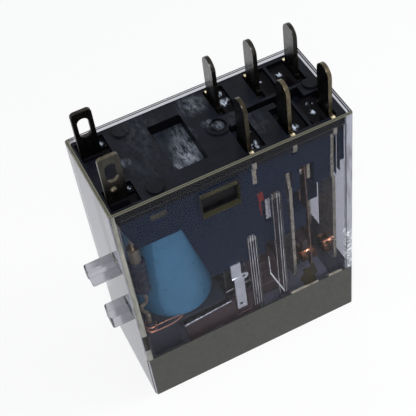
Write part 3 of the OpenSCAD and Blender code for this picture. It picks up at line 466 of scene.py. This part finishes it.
def case_edge_shade():
    """The rounded edges of the clear case, painted dark and nearly opaque as shade."""
    look = Look("case_edge_shade", EDGE_SHADE, 0.15)
    look.shader.inputs["IOR"].default_value = CASE_IOR
    look.shader.inputs["Transmission Weight"].default_value = 0.15
    look.paint(mottled(look, EDGE_SHADE, 0.4, 1.2))
    look.bump(look.noise(0.5), depth=0.006)
    let_lamps_through(look)
    return look


# Terminals: dark plated blades outside, with painted shade at their roots and painted glints on their
# shoulders, and brighter strips inside the case

CUT_INSIDE = (0.45, 0.41, 0.31)
STRIP_FACE = (0.85, 0.75, 0.77)
# Painted gold glints on the shoulders and the coil blade
GLINT_GOLD = (0.95, 0.82, 0.55)
SILVER = (0.9, 0.9, 0.92)
BLADE_OUT_Z = 34.2
# The blades' painted shade at the root fades out between these heights
ROOT_SHADE_Z = (BASE_TOP + 1.2, BASE_TOP + 3.8)
SHOULDER_Y, SHOULDER_Z = 5.28, (34.9, 35.35)
LUG_X, LUG_Y, LUG_TOP = (3.4, 4.3), 4.8, 29.0
COIL_GLINT, GLINT_R = (-12.7, -4.0, 36.7), 0.3


def painted_glint(look, flat):
    """Painted gold glints: on a contact blade's shoulders, and in one spot on a coil blade."""
    if flat == "x":
        return look.both(look.within(look.z, *SHOULDER_Z), look.over(look.size(look.y), SHOULDER_Y, 0.06))
    return look.both(look.near(COIL_GLINT, GLINT_R, 0.4), look.spread(look.noise(0.25), 0.4, 0.5, 0, 1))


def terminal_metal(name, root, tip, cut, flat="x", lug=False):
    """A blade that brightens from its root to its tip, with painted shade at the root, and is paler inside
    the case and at its cut edges.
    """
    look = Look(name, root, 0.3, metallic=0.9)
    streaks = look.spread(look.noise(0.35, detail=5, rough=0.6, stretch=(1, 1, 0.25)), 0.35, 0.7, 0, 1)
    outside = look.mixed(look.spread(look.z, *ROOT_SHADE_Z, 0, 1), streaked(look, streaks, root, 0.6, 1.5),
                         streaked(look, streaks, tip, 0.75, 1.2))
    in_case = look.under(look.z, BLADE_OUT_Z - 0.1, 0.2)
    face = look.mixed(in_case, outside, streaked(look, streaks, STRIP_FACE, 0.6, 1.3))
    trim = look.mixed(in_case, mottled(look, cut, 0.4, 0.6), mottled(look, CUT_INSIDE, 0.3, 0.8))
    across = look.size(look.nx if flat == "x" else look.ny)
    colour = look.mixed(look.under(across, 0.15, 0.15), face, trim)
    colour = look.mixed(painted_glint(look, flat), colour, GLINT_GOLD)
    if lug:
        hanging = look.both(look.under(look.z, LUG_TOP, 0.4), look.over(look.size(look.y), LUG_Y, MARGIN),
                            look.within(look.x, *LUG_X))
        colour = look.mixed(hanging, colour, streaked(look, streaks, SILVER, 0.6, 1))
    look.paint(colour)
    look.rough(look.noise(0.4, detail=4), 0.22, 0.4)
    look.bump(look.noise(0.12, stretch=(1, 1, 0.3)), depth=0.003)
    return look


# Base: black moulding, painted lighter inside the case, with painted dust and sheen, painted shade in its
# grooves and hollows, and a dab of red lacquer beside the first strip

SLATE = (0.0048, 0.006, 0.0098)
# Below INNER_Z, inside the case, the moulding is painted lighter and bluer to make up for the light that the
# case takes
INNER_LIT_SLATE = (0.005, 0.0125, 0.034)
INNER_Z = 33.0
CATCH_OLIVE = (0.1, 0.095, 0.065)
CATCH_X, CATCH_Y, CATCH_Z = (-10.0, -8.2), 5.0, (31.7, 32.6)
RECESS_SLATE, RECESS_SHARE = (0.028, 0.034, 0.05), 0.25
RECESS_X, RECESS_Y, RECESS_Z = (-5.8, -1.8), 3.75, 33.8
STUBS = ((-8.5, 4.75, 35.2), (-8.5, -4.75, 35.2), (13.0, 0.35, 35.2))
STUB_R, STUB_GAP, STUB_SLATE = 0.95, 0.3, (0.0035, 0.004, 0.006)
RING_AT, RING_IN = (1.1, -0.2, 35.2), 1.0
STEP = 0.06
POCKET_Z = 33.3
HOLLOW_SHADE_BLACK = (0.002, 0.002, 0.003)
BEHIND_LOW, BEHIND_RIGHT = 1.2, 0.5
LACQUER = (0.2, 0.025, 0.02)
LACQUER_X, LACQUER_Y, LACQUER_Z = (2.6, 3.3), 5.3, (24.2, 28.3)
LACQUER_LEAN = 0.2
# Painted sheen on the recess floor and ring, painted dust and sheen on the top, each as x, y, radius and
# strength, with z too on the ring
DUST_AND_SHEEN = (0.3, 0.33, 0.4)
SHEEN_ON_RECESS_FLOOR = ((-3.4, -1.4, 1.2, 1.5), (-5.05, -2.3, 0.5, 1.2), (-2.6, 2.6, 1.1, 0.45),
                   (-2.7, 0.3, 1.3, 1.1))
DUST_AND_SHEEN_ON_TOP = ((0.0, 4.3, 1.3, 0.75), (-6.5, 3.5, 2.2, 0.14), (-8.0, -1.0, 3.0, 0.07),
                 (-9.9, 0.2, 0.5, 0.8), (3.9, -0.6, 1.6, 0.2), (10.6, 2.0, 1.2, 0.2), (5.0, -2.6, 0.9, 0.2))
SHEEN_ON_RING = ((1.1, -0.2, 35.3, 0.55, 0.9), (0.2, 0.7, 35.4, 0.5, 0.8))


def dust_and_sheen_patches():
    """Place, radius and strength of each patch of painted dust and sheen."""
    for level, patches in ((RECESS_Z, SHEEN_ON_RECESS_FLOOR), (BASE_TOP, DUST_AND_SHEEN_ON_TOP)):
        for x, y, radius, strength in patches:
            yield (x, y, level), radius, strength
    for x, y, z, radius, strength in SHEEN_ON_RING:
        yield (x, y, z), radius, strength


def moulding_marks(look):
    """The catch's pale face, the recess's floor, painted shade in the grooves round the darker stubs and
    inside the ring boss, and the darker stubs.
    """
    catch = look.both(look.within(look.x, *CATCH_X), look.within(look.z, *CATCH_Z),
                      look.under(look.y, -CATCH_Y))
    recess = look.both(look.within(look.x, *RECESS_X), look.within(look.y, -RECESS_Y, RECESS_Y),
                       look.within(look.z, RECESS_Z - 0.1, RECESS_Z + 0.1))
    shade_rings = look.either(*[look.near(place, STUB_R + STUB_GAP, 0.15) for place in STUBS],
                        look.near(RING_AT, RING_IN, 0.1))
    stubs = look.either(*[look.near(place, STUB_R, 0.1) for place in STUBS])
    return [(catch, CATCH_OLIVE), (look.times(recess, RECESS_SHARE), mottled(look, RECESS_SLATE, 0.35, 1.0)),
            (look.both(shade_rings, look.under(look.z, BASE_TOP, STEP)), HOLLOW_SHADE_BLACK),
            (look.both(stubs, look.over(look.z, BASE_TOP, STEP)), STUB_SLATE)]


# Painted dust and sheen, broken into ragged streaks
def dust_and_sheen_marks(look):
    coarse = look.noise(0.5, detail=6, rough=0.75, stretch=(1, 0.35, 1))
    ragged_streaks = look.both(look.spread(coarse, 0.42, 0.66, 0, 1),
                          look.spread(look.noise(0.12, detail=4, rough=0.7), 0.35, 0.65, 0.3, 1))
    return [(look.times(look.both(look.near(place, radius, 0.6), ragged_streaks), strength), DUST_AND_SHEEN)
            for place, radius, strength in dust_and_sheen_patches()]


def hollow_shade_marks(look):
    """Painted shade on the pockets' walls and on what lies behind the latch windows."""
    sunk = look.both(look.under(look.z, BASE_TOP - STEP, 0.04), look.over(look.z, POCKET_Z),
                     look.under(look.nz, 0.3, 0.3))
    behind = look.both(look.within(look.x, WINDOW_X[0], WINDOW_X[1] + BEHIND_RIGHT, 0.3),
                       look.within(look.z, WINDOW_Z[0] - BEHIND_LOW, WINDOW_Z[1], 0.3))
    return [(look.either(sunk, behind), HOLLOW_SHADE_BLACK)]


def lacquer_marks(look):
    ragged = look.spread(look.noise(0.5), 0, 1, -0.2, 0.2)
    slant = look.plus(ragged, look.spread(look.z, *LACQUER_Z, -LACQUER_LEAN, 0))
    dab = look.both(look.within(look.plus(look.x, slant), *LACQUER_X),
                    look.within(look.plus(look.z, ragged), *LACQUER_Z),
                    look.under(look.y, -LACQUER_Y - THIN, 2 * THIN))
    return [(dab, LACQUER)]


def base_moulding():
    look = Look("black_moulding", SLATE, 0.35, specular=0.1)
    # Painted lighter and bluer below INNER_Z, inside the case
    colour = look.mixed(look.over(look.z, INNER_Z), mottled(look, INNER_LIT_SLATE, 0.15, 3.0),
                        mottled(look, SLATE, 0.4, 1.6))
    for marks in (moulding_marks, dust_and_sheen_marks, hollow_shade_marks, lacquer_marks):
        for mask, tone in marks(look):
            colour = look.mixed(mask, colour, tone)
    look.paint(colour)
    look.rough(look.noise(0.8, detail=5), 0.25, 0.5)
    look.bump(look.noise(0.12), depth=0.003)
    return look


# Coil tape: blue film with a painted shadow at one side, dark patches, and painted shade in small specks
# towards the contacts

TAPE = (0.07, 0.215, 0.335)
TAPE_DARK = (0.028, 0.105, 0.175)
# The tape's painted shadow lies below the first x, and its painted shade specks fade in across the range
# after it
TAPE_SHADOW_X = -10.4
SHADE_SPECKS_X = (-5.9, -5.2)


def tape():
    look = Look("blue_tape", TAPE, 0.35, specular=0.25)
    wander = look.plus(look.x, look.spread(look.noise(2.5), 0, 1, -0.8, 0.8))
    shaded_side = look.spread(wander, TAPE_SHADOW_X - 0.1, TAPE_SHADOW_X + 0.1, 0.65, 0)
    dark_patches = look.spread(look.noise(1.1, detail=5, rough=0.65, stretch=(1, 1, 0.5)), 0.5, 0.75, 0, 0.35)
    shade_specks = look.both(look.spread(look.noise(0.35, detail=2), 0.6, 0.66, 0, 0.8),
                        look.spread(look.x, *SHADE_SPECKS_X, 0, 1))
    look.paint(look.mixed(look.either(shaded_side, dark_patches, shade_specks), mottled(look, TAPE, 0.1, 3), TAPE_DARK))
    look.rough(look.noise(0.8, detail=4), 0.25, 0.45)
    look.bump(look.noise(1.5, detail=4), depth=0.02)
    return look


# Resin: black and wet, with painted glints where it catches the light, each given as x, y and radius

RESIN_BLACK = (0.002, 0.002, 0.003)
RESIN_GLINT = (0.6, 0.66, 0.78)
GLINTS = ((3.5, -2.4, 0.35), (3.45, -3.9, 0.45), (3.3, -4.9, 0.4), (8.7, -2.2, 0.25), (8.3, -4.3, 0.4),
          (11.5, -2.0, 0.3), (11.2, -3.2, 0.35), (3.6, 3.2, 0.5), (3.8, 4.6, 0.35), (8.5, 3.8, 0.25),
          (10.9, 4.0, 0.35), (-11.1, 4.7, 0.3), (-11.5, 3.9, 0.25), (-13.2, 3.9, 0.15), (-10.8, -2.9, 0.2))


def resin():
    look = Look("resin", RESIN_BLACK, 0.08, specular=0.04)
    glint_places = look.either(*[look.near((x, y, RESIN_TOP), radius, 0.5) for x, y, radius in GLINTS])
    broken = look.noise(0.4, detail=4, rough=0.6, stretch=(1, 0.5, 1))
    glints = look.both(glint_places, look.over(look.nz, 0.2, 0.3), look.spread(broken, 0.48, 0.56, 0, 1))
    look.paint(look.mixed(glints, RESIN_BLACK, RESIN_GLINT))
    look.rough(look.noise(0.6), 0.05, 0.15)
    look.bump(look.noise(0.7), depth=0.03)
    return look


BAND_GREY = (0.052, 0.051, 0.047)
BAND_LINING = (0.48, 0.48, 0.54)


def band_moulding():
    """Olive-grey outside, paler where it is seen from inside through the case."""
    look = Look("band_grey", BAND_GREY, 0.5, specular=0.2)
    inside = look.both(look.within(look.x, -HALF_L + 0.1, HALF_L - 0.1),
                       look.within(look.y, -HALF_W + MARGIN, HALF_W - MARGIN),
                       look.within(look.z, 0.1, BAND_Z - 0.1))
    look.paint(look.mixed(inside, mottled(look, BAND_GREY, 0.05), mottled(look, BAND_LINING, 0.25, 1.5)))
    look.rough(look.noise(0.8, detail=5), 0.4, 0.6)
    look.bump(look.noise(0.12), depth=0.003)
    return look


HEAD_DARK_REFLECTION = (0.03, 0.02, 0.02)
HEAD_COPPER = (0.4, 0.17, 0.09)
HEAD_GLINT = (1.0, 0.7, 0.5)


# Copper contact heads, painted dark in patches as a reflection of the dark inside, with painted glints
def copper_head():
    look = Look("copper_contact", HEAD_COPPER, 0.2, metallic=1.0)
    stain = look.spread(look.noise(0.7, detail=4), 0.4, 0.58, 0, 1)
    glints = look.spread(look.noise(0.45, detail=4, rough=0.6), 0.62, 0.68, 0, 1)
    look.paint(look.mixed(glints, look.mixed(stain, HEAD_COPPER, HEAD_DARK_REFLECTION), HEAD_GLINT))
    look.rough(look.noise(0.4), 0.1, 0.3)
    look.bump(look.noise(0.3), depth=0.01)
    return look


# Colours of the remaining pieces

SPOOL_BLACK = (0.022, 0.025, 0.036)
CARD_BROWN, CARD_EDGE_GLINT = (0.046, 0.028, 0.031), (0.3, 0.26, 0.26)
DIODE_BLUE = (0.018, 0.02, 0.036)
SPRING_RED, SPRING_DARK = (0.3, 0.18, 0.15), (0.14, 0.08, 0.07)
IRON, IRON_DARK = (0.1, 0.1, 0.11), (0.05, 0.05, 0.05)
CLIP_STEEL, CLIP_DULL = (0.92, 0.93, 0.95), (0.6, 0.6, 0.6)
STEEL_EDGE, EDGE_DULL = (0.9, 0.9, 0.92), (0.4, 0.4, 0.4)
WIRE_COPPER, WIRE_DARK = (0.8, 0.4, 0.27), (0.5, 0.2, 0.12)
LEAD_TIN, LEAD_DARK = (0.3, 0.26, 0.2), (0.12, 0.075, 0.055)

# Root, tip and cut edge of each blade, painted as lit and shaded copies of one metal: the near contact
# blades' faces darker and their cuts paler than the far ones', the near coil blade lighter than the far one;
# the contact blades' front cuts brighten towards the contact end
NEAR_SHADED_ROOT, NEAR_SHADED_TIP = (0.012, 0.011, 0.01), (0.02, 0.019, 0.017)
FRONT_CUTS = {"nc_terminal": (0.035, 0.03, 0.02), "com_terminal": (0.085, 0.07, 0.045),
              "no_terminal": (0.1, 0.083, 0.055)}
FAR_LIT_ROOT, FAR_LIT_TIP, FAR_SHADED_CUT = (0.012, 0.012, 0.012), (0.085, 0.084, 0.082), (0.025, 0.023, 0.02)
NEAR_LIT_COIL = ((0.02, 0.019, 0.016), (0.042, 0.04, 0.034), (0.085, 0.075, 0.055))
FAR_SHADED_COIL = ((0.01, 0.01, 0.01), (0.02, 0.019, 0.017), (0.03, 0.026, 0.022))


def dress(look, *names):
    for name in names:
        slots = nodes[name].data.materials
        slots.clear()
        slots.append(look.material)


def pair(name):
    return [name + "_front", name + "_back"]


def dress_all():
    dress(clear_case(), "cover")
    dress(band_moulding(), "nameplate")
    dress(base_moulding(), "base")
    dress(moulded("spool_moulding", SPOOL_BLACK, 0.35, mottle=0.2, specular=0.14), "bobbin")
    dress(tape(), "coil_tape")
    dress(moulded("card_plastic", CARD_BROWN, 0.4, mottle=0.3, specular=0.15), "card")
    dress(moulded("diode_body", DIODE_BLUE, 0.25, mottle=0.3), "diode")
    for contact, cut in FRONT_CUTS.items():
        lug = contact == "nc_terminal"
        near = terminal_metal(contact + "_near", NEAR_SHADED_ROOT, NEAR_SHADED_TIP, cut, lug=lug)
        far = terminal_metal(contact + "_far", FAR_LIT_ROOT, FAR_LIT_TIP, FAR_SHADED_CUT, lug=lug)
        dress(near, contact + "_front")
        dress(far, contact + "_back")
    dress(terminal_metal("coil_blade_near", *NEAR_LIT_COIL, flat="y"), "coil_terminal_front")
    dress(terminal_metal("coil_blade_far", *FAR_SHADED_COIL, flat="y"), "coil_terminal_back")
    dress(copper_head(), *pair("nc_contact"), *pair("no_contact"), *pair("moving_contact"))
    dress(metal("spring_strip", SPRING_RED, 0.3, SPRING_DARK), *pair("contact_spring"))
    dress(metal("iron", IRON, 0.3, IRON_DARK), "core", "yoke", "armature")
    dress(metal("clip_steel", CLIP_STEEL, 0.3, CLIP_DULL, amount=0.4, brush=(1, 1, 0.05)), "hinge_spring")
    dress(metal("copper_wire", WIRE_COPPER, 0.3, WIRE_DARK), "winding", "coil_lead_wires")
    dress(metal("tinned_lead", LEAD_TIN, 0.35, LEAD_DARK), "back_lead", "diode_leads", *pair("coil_post"))


# Rounded edges, in millimetres and degrees

WELD = 0.0001
FLAT_DEG, SHARP_DEG = 0.5, 40
EDGE_STEPS = 2
CASE_EDGE = 0.1
MOULDED_EDGE = 0.06
BLADE_EDGE = 0.09
IRON_EDGE = 0.08
CLIP_EDGE = 0.04


def bevel(width, *names, edge=None):
    """Rounds the sharp edges of CAD nodes, with a finish of their own if edge is given."""
    for name in names:
        piece = nodes[name]
        weld = piece.modifiers.new("weld", "WELD")
        weld.merge_threshold = WELD * MM
        flat = piece.modifiers.new("flat", "DECIMATE")
        flat.decimate_type = "DISSOLVE"
        flat.angle_limit = math.radians(FLAT_DEG)
        rounding = piece.modifiers.new("rounding", "BEVEL")
        rounding.width = width * MM
        rounding.segments = EDGE_STEPS
        rounding.limit_method = "ANGLE"
        rounding.angle_limit = math.radians(SHARP_DEG)
        if edge:
            piece.data.materials.append(edge.material)
            rounding.material = 1


def round_edges():
    bevel(CASE_EDGE, "cover", edge=case_edge_shade())
    bevel(MOULDED_EDGE, "base", "bobbin")
    for contact in FRONT_CUTS:
        bevel(BLADE_EDGE, *pair(contact))
    bevel(BLADE_EDGE, *pair("coil_terminal"))
    # The card's rounded edges get a paler finish as a painted glint
    bevel(CASE_EDGE, "card", edge=moulded("card_edge_glint", CARD_EDGE_GLINT, 0.3))
    bevel(IRON_EDGE, "yoke")
    bevel(IRON_EDGE, "armature", edge=metal("steel_edge", STEEL_EDGE, 0.25, EDGE_DULL))
    bevel(CLIP_EDGE, "hinge_spring")


dress_all()
round_edges()


# Resin pools that climb the pocket walls and the blades

MENISCUS = 0.22
MENISCUS_REACH = 0.2
POOL_STEP = 0.1


def solids_of(node):
    """Lowest and highest corners, in millimetres, of each separate solid of a node."""
    mesh = bmesh.new()
    mesh.from_mesh(nodes[node].data)
    bmesh.ops.remove_doubles(mesh, verts=mesh.verts, dist=WELD * MM)
    left, boxes = set(mesh.verts), []
    while left:
        todo, points = [left.pop()], []
        while todo:
            vert = todo.pop()
            points.append(vert.co / MM)
            for edge in vert.link_edges:
                other = edge.other_vert(vert)
                if other in left:
                    left.remove(other)
                    todo.append(other)
        boxes.append([[pick(p[i] for p in points) for i in range(3)] for pick in (min, max)])
    mesh.free()
    return sorted(boxes)


def add_pool(mesh, low, high):
    """A closed block whose top climbs near its four sides."""
    counts = [max(4, round((high[i] - low[i]) / POOL_STEP)) for i in (0, 1)]

    def corner(i, j, top):
        x, y = (low[k] + (high[k] - low[k]) * n / counts[k] for k, n in ((0, i), (1, j)))
        gap = min(x - low[0], high[0] - x, y - low[1], high[1] - y)
        z = high[2] + MENISCUS * math.exp(-gap / MENISCUS_REACH) if top else low[2]
        return mesh.verts.new((x * MM, y * MM, z * MM))

    tops = [[corner(i, j, True) for j in range(counts[1] + 1)] for i in range(counts[0] + 1)]
    feet = [[corner(i, j, False) for j in range(counts[1] + 1)] for i in range(counts[0] + 1)]
    for i in range(counts[0]):
        for j in range(counts[1]):
            mesh.faces.new((tops[i][j], tops[i + 1][j], tops[i + 1][j + 1], tops[i][j + 1]))
            mesh.faces.new((feet[i][j], feet[i][j + 1], feet[i + 1][j + 1], feet[i + 1][j]))
    rim = [(i, 0) for i in range(counts[0])] + [(counts[0], j) for j in range(counts[1])]
    rim += [(i, counts[1]) for i in range(counts[0], 0, -1)] + [(0, j) for j in range(counts[1], 0, -1)]
    for (i, j), (k, m) in zip(rim, rim[1:] + rim[:1]):
        mesh.faces.new((tops[i][j], feet[i][j], feet[k][m], tops[k][m]))


def pour_resin():
    mesh = bmesh.new()
    for low, high in solids_of("sealing_resin"):
        add_pool(mesh, low, high)
    bmesh.ops.recalc_face_normals(mesh, faces=mesh.faces)
    data = bpy.data.meshes.new("resin_pools")
    mesh.to_mesh(data)
    mesh.free()
    data.shade_smooth()
    data.materials.append(resin().material)
    pools = bpy.data.objects.new("resin_pools", data)
    scene.collection.objects.link(pools)
    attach(pools, "root")
    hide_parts("sealing_resin")


pour_resin()


# Camera, floor and light

CAMERA_AT = Vector((-28.345, -76.719, 118.305)) * MM
CAMERA_RIGHT = Vector((0.89290, -0.43887, -0.10062))
CAMERA_UP = Vector((0.39597, 0.65900, 0.63948))
CAMERA_BACK = Vector((-0.21434, -0.61083, 0.76220))
SENSOR_W = 36
IMAGE_W = 416
FOCAL_PX = 1065.95
FLOOR_HALF = 600
FLOOR_GREY = (0.9, 0.9, 0.9)
FLOOR_GLOW = 0.75
SKY, SKY_LEVEL = (0.9, 0.95, 1.0), 0.35
LAMPS_AIM = (0, 0, 18)


def build_camera():
    data = bpy.data.cameras.new("camera")
    data.sensor_width = SENSOR_W
    data.lens = SENSOR_W * FOCAL_PX / IMAGE_W
    data.clip_start = MM
    camera = bpy.data.objects.new("camera", data)
    turn = Matrix((CAMERA_RIGHT, CAMERA_UP, CAMERA_BACK)).transposed().to_4x4()
    camera.matrix_world = Matrix.Translation(CAMERA_AT) @ turn
    scene.collection.objects.link(camera)
    scene.camera = camera


def math_node(tree, operation, a, b):
    node = tree.nodes.new("ShaderNodeMath")
    node.operation = operation
    for value, socket in ((a, node.inputs[0]), (b, node.inputs[1])):
        if isinstance(value, (int, float)):
            socket.default_value = value
        else:
            tree.links.new(value, socket)
    return node.outputs[0]


def seen_directly(tree):
    """1 where a ray comes from the camera, off metal or through the clear case, 0 after a diffuse bounce."""
    path = tree.nodes.new("ShaderNodeLightPath")
    total = path.outputs["Is Camera Ray"]
    for name in ("Is Glossy Ray", "Is Transmission Ray"):
        total = math_node(tree, "MAXIMUM", total, path.outputs[name])
    lit = math_node(tree, "LESS_THAN", path.outputs["Diffuse Depth"], 0.5)
    return math_node(tree, "MULTIPLY", total, lit)


def mix_shaders(tree, factor, first, second, output):
    mix = tree.nodes.new("ShaderNodeMixShader")
    tree.links.new(factor, mix.inputs[0])
    tree.links.new(first.outputs[0], mix.inputs[1])
    tree.links.new(second.outputs[0], mix.inputs[2])
    tree.links.new(mix.outputs[0], tree.nodes[output].inputs["Surface"])


def build_world():
    """A pale sky that lights the object, and plain white where it is seen."""
    world = bpy.data.worlds.new("studio")
    scene.world = world
    world.use_nodes = True
    tree = world.node_tree
    light = tree.nodes["Background"]
    light.inputs["Color"].default_value = (*SKY, 1)
    light.inputs["Strength"].default_value = SKY_LEVEL
    white = tree.nodes.new("ShaderNodeBackground")
    white.inputs["Color"].default_value = (1, 1, 1, 1)
    white.inputs["Strength"].default_value = 1.0
    mix_shaders(tree, seen_directly(tree), light, white, "World Output")


def build_floor():
    """A pale floor that keeps the object's shadow."""
    half = FLOOR_HALF * MM
    mesh = bpy.data.meshes.new("floor")
    corners = [(-half, -half, 0), (half, -half, 0), (half, half, 0), (-half, half, 0)]
    mesh.from_pydata(corners, [], [(0, 1, 2, 3)])
    floor = bpy.data.objects.new("floor", mesh)
    scene.collection.objects.link(floor)
    material = bpy.data.materials.new("floor_white")
    material.use_nodes = True
    tree = material.node_tree
    paper = tree.nodes["Principled BSDF"]
    paper.inputs["Base Color"].default_value = (*FLOOR_GREY, 1)
    paper.inputs["Roughness"].default_value = 0.9
    lit_wall = tree.nodes.new("ShaderNodeEmission")
    lit_wall.inputs["Strength"].default_value = 1.0
    share = math_node(tree, "MULTIPLY", seen_directly(tree), FLOOR_GLOW)
    mix_shaders(tree, share, paper, lit_wall, "Material Output")
    mesh.materials.append(material)


def softbox(name, place, size, watts):
    data = bpy.data.lights.new(name, "AREA")
    data.shape = "RECTANGLE"
    data.size, data.size_y = (s * MM for s in size)
    data.energy = watts
    lamp = bpy.data.objects.new(name, data)
    place, aim = Vector(place) * MM, Vector(LAMPS_AIM) * MM
    turn = (aim - place).to_track_quat("-Z", "Y").to_matrix().to_4x4()
    lamp.matrix_world = Matrix.Translation(place) @ turn
    scene.collection.objects.link(lamp)


build_camera()
build_world()
build_floor()
softbox("key", place=(-110, -300, 420), size=(160, 160), watts=2.0)
softbox("side", place=(330, -80, 200), size=(150, 200), watts=0.5)

scene.view_settings.view_transform = "Standard"
